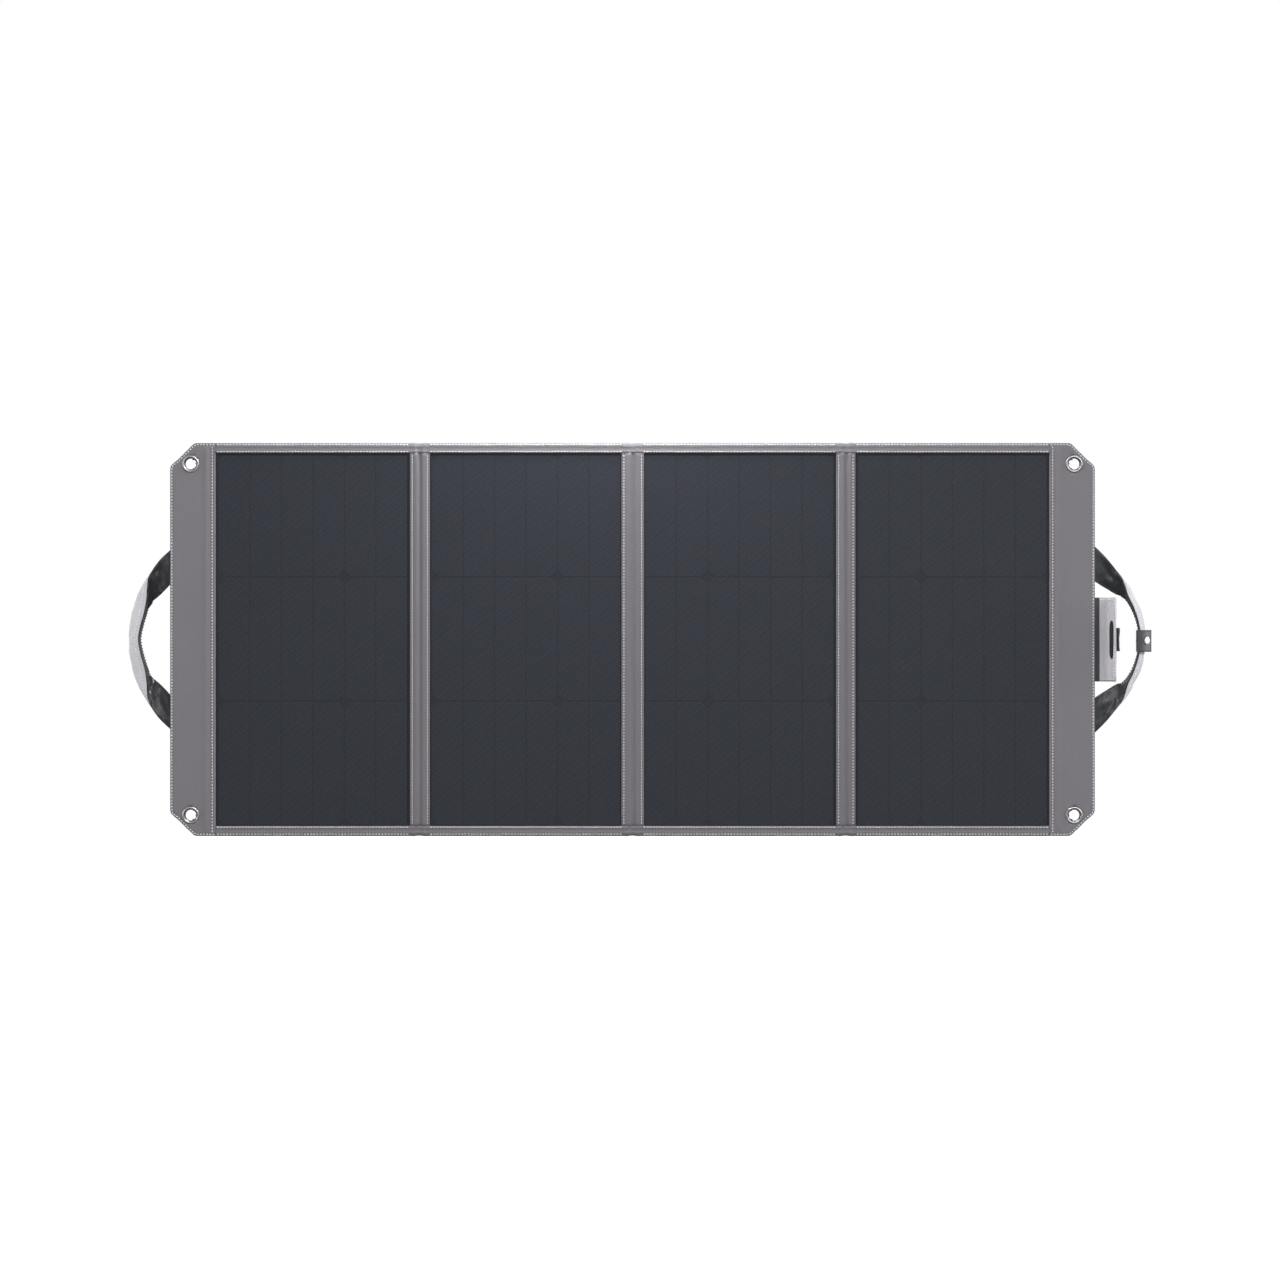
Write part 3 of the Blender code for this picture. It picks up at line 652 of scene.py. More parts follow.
def widened(x):
    """The flap's binding stands a little past its board."""
    return x + 0.0014 * ramp(x, HALF_WIDTH - 0.010, HALF_WIDTH - 0.003)


def in_eyelet(x, z, places):
    return any(math.hypot(x - ex, z - ez) < EYELET_HOLE for ex, ez in places)


def flap(side_name, side, body, number):
    """The end flap: cloth over a stiffener, sewn round its edge and along the window."""
    places = [(abs(x), z) for x, z in EYELETS[side_name]]
    seam, rim = 0.0044, 0.0008

    def height(x, z):
        e = edge_distance(x, z)
        inside = x - FLAP_INNER
        d = BORDER_DEPTH
        at_rim = min(e / rim, 1.0)
        d -= 0.0034 * (1 - math.sqrt(at_rim * (2 - at_rim)))
        d -= 0.00055 * hump(e, 0.0024, 0.0014)
        d += 0.00025 * hump(e, 0.0060, 0.0045)
        d += 0.00120 * hump(inside, 0.0120, 0.0050) * ramp(e, 0.002, 0.012)
        d -= 0.00050 * hump(inside, seam, 0.0014)
        d += 0.00030 * hump(inside, 0.0018, 0.0020)
        d -= 0.00035 * (1 - ramp(inside, 0.0, 0.0008))
        d += 0.00022 * wobble(x, z, 26, side) * ramp(e, 0.002, 0.010)
        d += 0.00012 * wobble(x, z, 90, side + 4) * ramp(e, 0.001, 0.005)
        for ex, ez in places:
            r = math.hypot(x - ex, z - ez)
            d -= 0.00030 * (1 - ramp(r, 0.011, 0.0145))
        return d

    def across_flap(u, z):
        return FLAP_INNER + u * (flap_reach(z) - FLAP_INNER)

    def at(u, z, outer):
        x = across_flap(u, z)
        return at_depth(side * widened(x), height(x, z) if outer else 0.0011, z)

    us = sorted(set(
        [i / 26 for i in range(27)]
        + [0.012, 0.024, 0.055, 0.075, 0.095, 0.94, 0.955, 0.975, 0.985, 0.991, 0.995, 0.998]
    ))
    ends = [e for k in (0, 0.0002, 0.0005, 0.0009, 0.0014, 0.0019, 0.0025, 0.0032, 0.0042, 0.0060)
            for e in (BOTTOM + k, TOP - k)]
    zs = sorted(set(spread(BOTTOM, TOP, 0.0042) + [round(e, 6) for e in ends]))
    name = f"end_flap_{side_name}"
    mesh = shell_mesh(name, us, zs, at, lambda u, z: in_eyelet(across_flap(u, z), z, places))
    piece(name, mesh, "border", body, (f"border_{number}",))

    inset = 0.0024
    outline = []
    for z in spread(BOTTOM + inset, TOP - inset, 0.001):
        t = min(TOP - z, z - BOTTOM)
        step = inset * (1.4142 if t < CHAMFER - 0.002 else 1.0)
        outline.append((max(flap_reach(z) - step, FLAP_INNER), z))
    path = [(FLAP_INNER + 0.001, BOTTOM + inset)] + outline + [(FLAP_INNER + 0.001, TOP - inset)]
    path = [(side * widened(x), z) for x, z in path]
    depth, x = BORDER_DEPTH - 0.0002, side * (FLAP_INNER + seam)
    runs = [
        (even([at_depth(x, depth, z) for x, z in path]), FORWARDS),
        (row(at_depth(x, depth, BOTTOM + 0.004), at_depth(x, depth, TOP - 0.004)), FORWARDS),
        (even([at_depth(x, 0.0, z) for x, z in path]), BACKWARDS),
    ]
    sew(f"flap_stitches_{side_name}", runs, "thread", body, "border_fabric")


# ---------------------------------------------------------------- hinge strips across the folds

HINGE_DEPTH = 0.0060
HINGE_LAPS = ((-0.0004, 0.0013), (0.0018, 0.0023), (-0.0001, 0.0001))  # how far each laps over its two films


def hinge_sheet(number):
    """The front strip between two windows, with the hems' pinched ends, turning over the fold."""
    fold = FOLDS[number - 1]
    name = f"hinge_sheet_{number}_{number + 1}"
    laps = HINGE_LAPS[number - 1]

    def half(u):
        return HINGE_HALF + laps[0 if u < 0 else 1]

    def at(u, z, outer):
        """u runs across the strip from -1 to 1."""
        x = u * half(u)
        e = half(u) - abs(x)
        d = HINGE_DEPTH
        d -= 0.0010 * (1 - ramp(e, 0.0, 0.0009))
        d -= 0.00075 * hump(e, 0.0032, 0.0013)
        d += 0.00070 * hump(x, -0.0040, 0.0036) + 0.00040 * hump(x, 0.0058, 0.0036)
        d -= 0.00160 * hump(x, 0.0010, 0.0034)
        d += 0.00014 * wobble(x + fold, z, 70, 2) + 0.00024 * wobble(fold, z, 30, 5) * hump(x, 0, 0.009)
        pucker = ramp(z, WINDOW_TOP - 0.018, WINDOW_TOP) + ramp(-z, -WINDOW_BOTTOM - 0.018, -WINDOW_BOTTOM)
        d -= 0.0007 * pucker * hump(x, 0.0, 0.006)
        return at_depth(fold + x, d if outer else min(d, HINGE_DEPTH) - 0.00095, z)

    left_us = [-1, -0.985, -0.95, -0.91, -0.87, -0.83, -0.79, -0.75, -0.71, -0.67]
    left_us += [-0.58, -0.48, -0.38, -0.29, -0.21, -0.14, -0.07]
    us = left_us + [0] + [-u for u in left_us[::-1]]
    zs = spread(WINDOW_BOTTOM - 0.001, WINDOW_TOP + 0.001, 0.005)
    place = piece(name, shell_mesh(name, us, zs, at), "hinge", None,
                  (f"hinge_strip_{number}_{number + 1}",))
    across(place)

    for end_name, way, edge in (("top", 1, WINDOW_TOP), ("bottom", -1, WINDOW_BOTTOM)):
        rings = []
        for i in range(27):
            u = -1 + i / 13
            x = fold + u * (HINGE_HALF - 0.0001)
            near = hump(u, 0.0, 0.55)
            ring = []
            for s, d in HEM_PROFILE:
                top = ramp(s, 0.006, 0.0125)
                s2 = s - 0.00045 * near * top + 0.0003 * hump(abs(u), 0.62, 0.35) * top
                on_front = ramp(d, 0.003, 0.005)
                d2 = d - on_front * (0.0007 * near - 0.0004 * hump(abs(u), 0.45, 0.3))
                d2 += on_front * 0.00045 * wobble(x, s * 4, 260, way)
                ring.append(at_depth(x, d2, edge + way * s2))
            rings.append(ring)
        label = f"hem_fold_{number}_{end_name}"
        across(piece(label, tube_mesh(label, rings), "border", None))

    for side, body, label in ((-1, f"panel_{number}", "left"), (1, f"panel_{number + 1}", "right")):
        x = fold + side * (half(side) - 0.0032)
        seam = row(at_depth(x, 0.0053, WINDOW_BOTTOM + 0.002), at_depth(x, 0.0053, WINDOW_TOP - 0.002))
        sew(f"hinge_stitches_{number}_{label}", [(seam, FORWARDS)], "thread", body, "border_fabric",
            length=0.0021)


def across(obj):
    """Bake a piece's placement into its mesh; the piece rides on no body."""
    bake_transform(obj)


# ---------------------------------------------------------------- behind the panels

def jumper(number):
    """The flat lead between two panels' cells, folded in a slack wave inside the hinge."""
    node = f"jumper_lead_{number}_{number + 1}"
    (x0, y0, z0), (x1, y1, z1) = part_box(node)
    middle, half = (y0 + y1) / 2, (y1 - y0) / 2

    def at(x, z, outer):
        way = 1 if outer else -1
        wave = 0.0002 * math.sin(math.tau * (x - x0) / (x1 - x0) * 2)
        rim = 0.5 + 0.5 * ramp(min(z - z0, z1 - z), 0.0, 0.0008)
        return Vector((x, middle + wave + way * half * rim, z))

    zs = spread(z0, z1, 0.001, (z0 + 0.0004, z1 - 0.0004))
    mesh = shell_mesh(f"jumper_{number}", spread(x0, x1, 0.0015), zs, at)
    across(piece(f"jumper_{number}", mesh, "ribbon", None, (node,)))


def back_sheet(number):
    """One panel's back cover, sewn round its board."""
    x0, x1 = WINDOWS[number - 1]
    side = {1: -1, 4: 1}.get(number, 0)
    left, right = x0 - HINGE_HALF + 0.0065, x1 + HINGE_HALF - 0.0065
    inset = 0.0012
    name = f"back_sheet_{number}"
    board_x = (x0 + x1) / 2
    half_w, half_h = (x1 - x0) / 2, (WINDOW_TOP - WINDOW_BOTTOM) / 2
    places = {-1: EYELETS["left"], 1: EYELETS["right"]}.get(side, [])

    def at(u, z, outer):
        low, high = left, right
        if side < 0:
            low = -(flap_reach(z) - inset)
        if side > 0:
            high = flap_reach(z) - inset
        x = low + (high - low) * u
        out_x, out_z = abs(x - board_x) - half_w, abs(z - MIDDLE) - half_h
        beyond = max(out_x, out_z)
        d = -0.0002 * (1 - ramp(beyond, -0.004, 0.0)) + 0.00045 * hump(beyond, 0.0015, 0.0025)
        d += 0.00012 * wobble(x, z, 30, number) + 0.00008 * wobble(x, z, 110, number + 9)
        return at_depth(x, max(d, -0.00028) if outer else 0.0008, z)

    low_z, high_z = BOTTOM + inset, TOP - inset
    steps = 70 if side else 46
    us = [i / steps for i in range(steps + 1)]
    marks = (WINDOW_TOP + 0.0015, WINDOW_BOTTOM - 0.0015, WINDOW_TOP, WINDOW_BOTTOM)
    zs = spread(low_z, high_z, 0.0052, marks)
    mesh = shell_mesh(name, us, zs, at, lambda u, z: in_eyelet(at(u, z, True).x, z, places))
    sheet = piece(name, mesh, "back", f"panel_{number}", (f"back_cover_{number}",))

    runs = [
        (row(at_depth(x, -0.0001, WINDOW_BOTTOM), at_depth(x, -0.0001, WINDOW_TOP)), BACKWARDS)
        for x in (x0 - 0.0015, x1 + 0.0015)
    ]
    sew(f"back_stitches_{number}", runs, "dark_thread", f"panel_{number}", "back_fabric", radius=FINE_THREAD)


def rear_hinge(number):
    """The back cover's strip over a fold, with slack in its middle."""
    fold, name = FOLDS[number - 1], f"rear_hinge_sheet_{number}_{number + 1}"

    def at(u, z, outer):
        x = fold + u * HINGE_HALF
        d = -0.0006 + 0.0005 * hump(u, 0, 0.35) - 0.0002 * hump(abs(u), 0.5, 0.3)
        d += 0.00015 * wobble(x, z, 60, 8)
        return at_depth(x, d if outer else d + 0.0004, z)

    us = [i / 12 - 1 for i in range(25)]
    zs = spread(BOTTOM + 0.0012, TOP - 0.0012, 0.006)
    strip = piece(name, shell_mesh(name, us, zs, at), "back", None,
                  (f"rear_hinge_strip_{number}_{number + 1}",))
    across(strip)
    for side, body, label in ((-1, f"panel_{number}", "left"), (1, f"panel_{number + 1}", "right")):
        x = fold + side * (HINGE_HALF - 0.002)
        runs = [(row(at_depth(x, -0.0008, BOTTOM + 0.004), at_depth(x, -0.0008, TOP - 0.004)), BACKWARDS)]
        sew(f"rear_stitches_{number}_{label}", runs, "dark_thread", body, "back_fabric", radius=FINE_THREAD)


# ---------------------------------------------------------------- eyelets

def turned_mesh(name, profile, place, axis, steps=72):
    """A closed profile of (radius, height) turned about an axis."""
    turn = Vector(axis).to_track_quat("Z", "Y").to_matrix().to_4x4()
    matrix = Matrix.Translation(place) @ turn
    rings = []
    for r, h in profile:
        turns = [math.tau * k / steps for k in range(steps)]
        rings.append([matrix @ Vector((r * math.cos(t), r * math.sin(t), h)) for t in turns])
    mesh = weld(tube_mesh(name, rings + rings[:1], capped=False))
    mesh.set_sharp_from_angle(angle=math.radians(50))
    return mesh


def arc(centre, radius, start, end, steps):
    turns = [math.radians(start + (end - start) * i / steps) for i in range(steps + 1)]
    return [(centre[0] + radius * math.cos(t), centre[1] + radius * math.sin(t)) for t in turns]


def eyelet(label, x, z, body):
    """A rolled nickel ring, and its barrel down to the washer it is crimped on."""
    front = BORDER_DEPTH
    bore, lip, outer = 0.0070, 0.0082, 0.0110
    roll = (outer - lip) / 2
    place = at_depth(x, 0, z)
    ring = arc((lip + roll, front + 0.0001), roll, 180, 0, 12)
    ring += [(outer - 0.0004, front - 0.0002), (lip, front - 0.0002)]
    mesh = turned_mesh(f"eyelet_ring_{label}", ring, place, FORWARDS)
    piece(f"eyelet_ring_{label}", mesh, "nickel", body, (f"eyelet_{label}",))
    barrel = [(lip + 0.0001, front + 0.0002), (0.0076, front - 0.0002), (0.0071, front - 0.0010)]
    barrel += [(bore, front - 0.0020), (bore, -0.0018), (0.0080, -0.0023)]
    barrel += arc((0.0090, -0.0019), 0.0004, -80, 60, 4)
    barrel += [(EYELET_HOLE, -0.0015), (lip, -0.0015), (lip, front - 0.0004)]
    mesh = turned_mesh(f"eyelet_barrel_{label}", barrel, place, FORWARDS)
    piece(f"eyelet_barrel_{label}", mesh, "barrel", body)


# ---------------------------------------------------------------- handles

TUCK = 0.0054  # the strap runs on behind the flap, up to its sewn end
STRAP_STEPS, TUCK_STEPS = 96, 4
# Half of each handle, from the flap to its middle, as (outward, up, depth) in millimetres: the strap's near
# edge, its far edge, and how far the grip's padding pulls its outer face outwards.
HANDLES = {
    "left": {
        "near": [(0, 117, -1.5), (14.8, 103, -1.5), (25, 89, -1.2), (30, 78, -0.8), (31, 66, -0.4),
                 (31.5, 54, 0), (34.5, 36, 0), (39.5, 18, 0), (42.3, 0, 0)],
        "far": [(0, 72.5, -1.5), (9, 63, -3), (17, 55.5, -6), (23.5, 50, -10), (29.5, 43, -15),
                (33.5, 34, -20), (37.2, 23, -24), (40.3, 12, -27), (42.2, 0, -28)],
        "pull": [(1, 95, -3), (13, 84, -5), (27, 80, -8), (42, 74, -12), (54, 63, -13),
                 (62.5, 50, -14), (67.5, 34, -14), (69, 17, -14), (68, 0, -14)],
    },
    "right": {
        "near": [(0, 122, -1.5), (16, 106, -1.5), (29, 90, -1.2), (36.5, 79.5, -0.8), (40.5, 69, -0.4),
                 (44, 57, 0), (51.5, 41, 0), (57.5, 22, 0), (60.5, 0, 0)],
        "far": [(0, 76, -1.5), (10, 69.5, -3), (20, 63.5, -6), (29, 58.5, -10), (37, 55.5, -15),
                (44.5, 50, -20), (52.5, 37, -22), (58.3, 20, -22), (61.2, 0, -21.5)],
        "pull": [(1, 99, -3), (14, 87, -5), (29, 82, -8), (44, 78, -12), (56, 68, -12),
                 (62, 55, -13), (68.5, 41, -12), (72.8, 22, -11), (71.8, 0, -11)],
    },
}
GRIP_START = 0.105


def strap_line(side, points):
    """One of a handle's lines in the scene, over its whole length."""
    path = [Vector(p) / 1000 for p in points]
    path += [Vector((p.x, -p.y, p.z)) for p in path[-2::-1]]
    found = smooth_path(path, STRAP_STEPS)
    first = (found[0] - found[2]).normalized() * TUCK * 1.4
    last = (found[-1] - found[-3]).normalized() * TUCK * 1.4
    before = [found[0] + first * k / TUCK_STEPS for k in range(TUCK_STEPS, 0, -1)]
    after = [found[-1] + last * k / TUCK_STEPS for k in range(1, TUCK_STEPS + 1)]
    return [at_depth(side * (HALF_WIDTH + u), d, MIDDLE + up) for u, up, d in before + found + after]


def strap_mesh(name, near, far, outer_way, thickness, wrinkle, seed):
    """A strap with rounded edges, lofted between its two edge lines, with wrinkles where it turns."""
    columns = [-1, -0.985, -0.93, -0.84, -0.7, -0.5, -0.25, 0, 0.25, 0.5, 0.7, 0.84, 0.93, 0.985, 1]
    rings = []
    last = len(near) - 1
    for i, (a, b) in enumerate(zip(near, far)):
        normal = outer_way[i]
        mid = 1 - abs(2 * i / last - 1)
        crumple = wrinkle * (0.35 + hump(mid, 0.40, 0.34)) * ramp(mid, 0.08, 0.2)
        top, bottom = [], []
        for c in columns:
            squeeze = min((1 - abs(c)) * 15, 1.0)
            half = thickness / 2 * (0.25 + 0.75 * math.sqrt(squeeze * (2 - squeeze)))
            lift = crumple * noise.noise(Vector((c * 1.5, i * 0.20, seed)))
            lift += crumple * 0.6 * noise.noise(Vector((c * 3.3, i * 0.42, seed + 3)))
            point = a.lerp(b, (c + 1) / 2)
            top.append(point + normal * (half + lift))
            bottom.append(point + normal * (lift - half))
        rings.append(top + bottom[::-1])
    return tube_mesh(name, rings)


def grip_point(near, far, pull, t):
    return near * (1 - t) ** 2 + pull * (2 * t * (1 - t)) + far * t * t


def grip_mesh(name, near, far, pull, outer_way, seed):
    """The padded light cover on the strap's outer face: a D section that fades out towards the legs."""
    ts = [0, 0.015, 0.05, 0.1, 0.17, 0.25, 0.34, 0.44, 0.55, 0.66, 0.77, 0.87, 0.95, 0.985, 1]
    rings = []
    last = len(near) - 1
    for i, (a, b, c) in enumerate(zip(near, far, pull)):
        mid = min(i, last - i) / last
        if mid < GRIP_START:
            continue
        normal = outer_way[i] * 0.0008
        start = a + normal * 0.9
        end = start.lerp(b + normal * 0.9, 0.10 + 0.90 * ramp(mid, GRIP_START - 0.01, GRIP_START + 0.075))
        outer, inner = [], []
        for t in ts:
            point = grip_point(start, end, c, t)
            bulge = (point - start.lerp(end, t)) * ramp(mid, GRIP_START - 0.01, GRIP_START + 0.06)
            ripple = 0.0009 * noise.noise(Vector((t * 2.5, i * 0.16, seed))) + 0.0005 * noise.noise(
                Vector((t * 6, i * 0.45, seed + 4)))
            out = bulge.normalized() if bulge.length > 0.0005 else outer_way[i]
            point = start.lerp(end, t) + bulge + out * (ripple * math.sin(math.pi * t) + 0.0006)
            point -= out * 0.0007 * (hump(t, 0.10, 0.05) + hump(t, 0.90, 0.05))
            outer.append(point)
            inner.append(start.lerp(end, t))
        rings.append(outer + inner[::-1])
    return tube_mesh(name, rings)


def handle(side_name, side, panel_body):
    lines = {key: strap_line(side, points) for key, points in HANDLES[side_name].items()}
    near, far, pull = lines["near"], lines["far"], lines["pull"]
    outer_way = []
    for i, (a, b) in enumerate(zip(near, far)):
        along = near[min(i + 1, len(near) - 1)] - near[max(i - 1, 0)]
        normal = (b - a).cross(along).normalized()
        outer_way.append(normal if normal.dot(Vector((side, 1, 0))) > 0 else -normal)
    body, seed = f"handle_{side_name}", 11.0 * side
    web = strap_mesh(f"strap_inner_{side_name}", near, far, outer_way, 0.0013, 0.0020, seed)
    inner = piece(f"strap_inner_{side_name}", web, "strap", None, (f"handle_webbing_{side_name}",))
    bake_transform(inner)
    # The cover's light grey is part its cloth's tone and part painted sheen.
    cover = grip_mesh(f"strap_cover_{side_name}", near, far, pull, outer_way, seed)
    piece(f"strap_cover_{side_name}", cover, "grip", body,
                    (f"handle_cover_{side_name}",))

    grip = [i for i in range(len(near)) if min(i, len(near) - 1 - i) / (len(near) - 1) > GRIP_START + 0.08]
    legs = range(7, len(near) - 7)
    outer_runs, inner_runs = [], []
    for t in (0.10, 0.90):
        points = [grip_point(near[i], far[i], pull[i], t) + outer_way[i] * 0.0006 for i in grip]
        middle = [near[i].lerp(far[i], 0.5) for i in grip]
        points = even(points)
        for k, (a, b) in enumerate(zip(points, points[1:])):
            spot = round(k / max(len(points) - 1, 1) * (len(grip) - 1))
            outer_runs.append(([a, b], a - middle[min(spot, len(grip) - 1)]))
    for t in (0.07, 0.93):
        points = even([near[i].lerp(far[i], t) - outer_way[i] * 0.0006 for i in legs])
        for k, (a, b) in enumerate(zip(points, points[1:])):
            spot = legs[min(round(k / (len(points) - 1) * (len(legs) - 1)), len(legs) - 1)]
            inner_runs.append(([a, b], -outer_way[spot]))
    sew(f"strap_stitches_outer_{side_name}", outer_runs, "thread", body, "light_fabric")
    sew(f"strap_stitches_inner_{side_name}", inner_runs, "dark_thread", body, "webbing")
    anchor(side_name, side, panel_body)


def anchor(side_name, side, body):
    """The strap's sewn ends behind the flap, joined by a reinforcing band, box stitched."""
    node = f"handle_anchor_{side_name}"
    (_, _, z0), (_, y1, z1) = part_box(node)
    padded_board(f"anchor_band_{side_name}", node, "strap", body, "webbing", corner=0.004, sewn=False)
    y = y1 + 0.00005
    inner, outer = side * (HALF_WIDTH - 0.036), side * (HALF_WIDTH - 0.0155)
    lines = [((x, z0 + 0.03), (x, z1 - 0.03)) for x in (inner, outer)]
    for up in (-1, 1):
        z = MIDDLE + up * 0.062
        lines.append(((inner, z), (outer, z)))
        lines.append(((inner, z + up * 0.02), (outer, z)))
        lines.append(((inner, z), (outer, z + up * 0.02)))
    runs = [(row((a, y, b), (c, y, d)), BACKWARDS) for (a, b), (c, d) in lines]
    sew(f"anchor_stitches_{side_name}", runs, "dark_thread", body, "webbing")


# ---------------------------------------------------------------- keeper

def upright(path, half_height, thickness, name, columns=9, round_edge=0.0008, ripple=0.0, end_round=0.0,
            flare=0.0):
    """An upright strip beyond the right edge. The path holds (reach, depth) points, end_round is the
    radius of the strip's corners, and flare is how far its end's corners run on past the end's middle."""
    points = [at_depth(HALF_WIDTH + u, d, MIDDLE) for u, d in path]
    length = sum((b - a).length for a, b in zip(points, points[1:]))
    rings = []
    heights = [-1, -0.96, -0.88] + [-0.7 + 1.4 * k / (columns - 1) for k in range(columns)] + [0.88, 0.96, 1]
    for i, point in enumerate(points):
        before, after = points[max(i - 1, 0)], points[min(i + 1, len(points) - 1)]
        along = (after - before).normalized()
        normal = Vector((-along.y, along.x, 0))
        top, bottom = [], []
        near_end = min(i, len(points) - 1 - i) / (len(points) - 1) * length
        cut = end_round - math.sqrt(max(end_round ** 2 - max(end_round - near_end, 0) ** 2, 0))
        for c in heights:
            squeeze = min((1 - abs(c)) * half_height / round_edge, 1.0)
            half = thickness / 2 * (0.3 + 0.7 * math.sqrt(squeeze * (2 - squeeze)))
            lift = ripple * noise.noise(Vector((c * 2.2, i * 0.4, thickness * 900)))
            base = point + Vector((0, 0, c * (half_height - cut)))
            base += along * (flare * c * c * i / (len(points) - 1))
            top.append(base + normal * (half + lift))
            bottom.append(base + normal * (lift - half))
        rings.append(top + bottom[::-1])
    return tube_mesh(name, rings)


def smooth_path(points, count):
    """A smooth line through the points."""
    points = [Vector(p) for p in points]
    padded = [2 * points[0] - points[1]] + points + [2 * points[-1] - points[-2]]
    found = []
    for i in range(count + 1):
        s = i / count * (len(points) - 1)
        k = min(int(s), len(points) - 2)
        t = s - k
        a, b, c, d = padded[k:k + 4]
        found.append(0.5 * ((2 * b) + (c - a) * t + (2 * a - 5 * b + 4 * c - d) * t * t
                            + (3 * b - a - 3 * c + d) * t ** 3))
    return found


KEEPER_HALF, KEEPER_DROP = 0.0142, 0.0018


def lowered(mesh):
    for v in mesh.vertices:
        v.co.z -= KEEPER_DROP
    return mesh


def keeper():
    """The leather loop round the right handle, its tab with the snap's button, and the post it closes on."""

    inner = [(0.0630, 0.0048), (0.0584, 0.0026), (0.0568, -0.0050), (0.0570, -0.0165), (0.0610, -0.0240)]
    band = lowered(upright(smooth_path(inner, 24), KEEPER_HALF, 0.0016, "keeper_loop"))
    piece("keeper_loop", band, "leather", "handle_right", ("keeper_band",))
    root, end = Vector((0.0612, 0.0048)), Vector((0.0746, -0.0192))
    bow = [root, (0.0655, 0.0038), (0.0706, -0.0010), (0.0738, -0.0070), (0.0749, -0.0130), end]
    bow = smooth_path(bow, 24)
    tab = lowered(upright(bow, KEEPER_HALF, 0.0015, "keeper_flap"))
    piece("keeper_flap", tab, "leather", "keeper_tab", ("keeper_tab",))

    slope = (bow[9] - bow[6]).normalized()
    outward = Vector((-slope.y, -slope.x, 0))
    snap = bow[7]
    place = at_depth(HALF_WIDTH + snap.x, snap.y, MIDDLE) + 0.0009 * outward
    dome = [(0.00005, 0.0), (0.0053, 0.0)] + arc((0.0049, 0.0005), 0.0005, -40, 80, 5)
    dome += [(0.0042, 0.0011), (0.0030, 0.0014), (0.0015, 0.0016), (0.00005, 0.0017)]
    button = lowered(turned_mesh("snap_button", dome, place, outward, 48))
    piece("snap_button", button, "nickel", "keeper_tab", ("snap_cap",))
    place = at_depth(HALF_WIDTH + 0.0605, -0.0232, MIDDLE)
    stud = [(0.00005, 0.0), (0.0050, 0.0), (0.0050, 0.0006), (0.0026, 0.0009), (0.0022, 0.0016),
            (0.0026, 0.0023), (0.0018, 0.0029), (0.00005, 0.0030)]
    post = lowered(turned_mesh("snap_post", stud, place, (-0.55, 0.83, 0), 36))
    piece("snap_post", post, "nickel", "handle_right")

    runs = []
    for dz in (-0.0122, 0.0122):
        points = [at_depth(HALF_WIDTH + p.x, p.y, MIDDLE + dz) + outward * 0.0009 for p in bow[2:]]
        runs.append((even(points, 0.0028), outward))
    sewn = lowered(stitch_mesh("keeper_stitches", runs, length=0.002, radius=0.0002))
    piece("keeper_stitches", sewn, "dark_thread", "keeper_tab")


# ---------------------------------------------------------------- closure flap

TONGUE_HALF, TONGUE_BEND, TONGUE_TURN, TONGUE_END = 0.0542, 0.0155, math.radians(79), 0.0185
TONGUE_LENGTH = TONGUE_BEND * TONGUE_TURN + TONGUE_END


def tongue_point(s, offset=0.0):
    turn = min(s, TONGUE_BEND * TONGUE_TURN) / TONGUE_BEND
    straight = max(s - TONGUE_BEND * TONGUE_TURN, 0)
    reach = (TONGUE_BEND - offset) * math.sin(turn) + straight * math.cos(TONGUE_TURN)
    rise = TONGUE_BEND - (TONGUE_BEND - offset) * math.cos(turn) + straight * math.sin(TONGUE_TURN)
    return (0.0075 + reach, -0.0016 + rise)


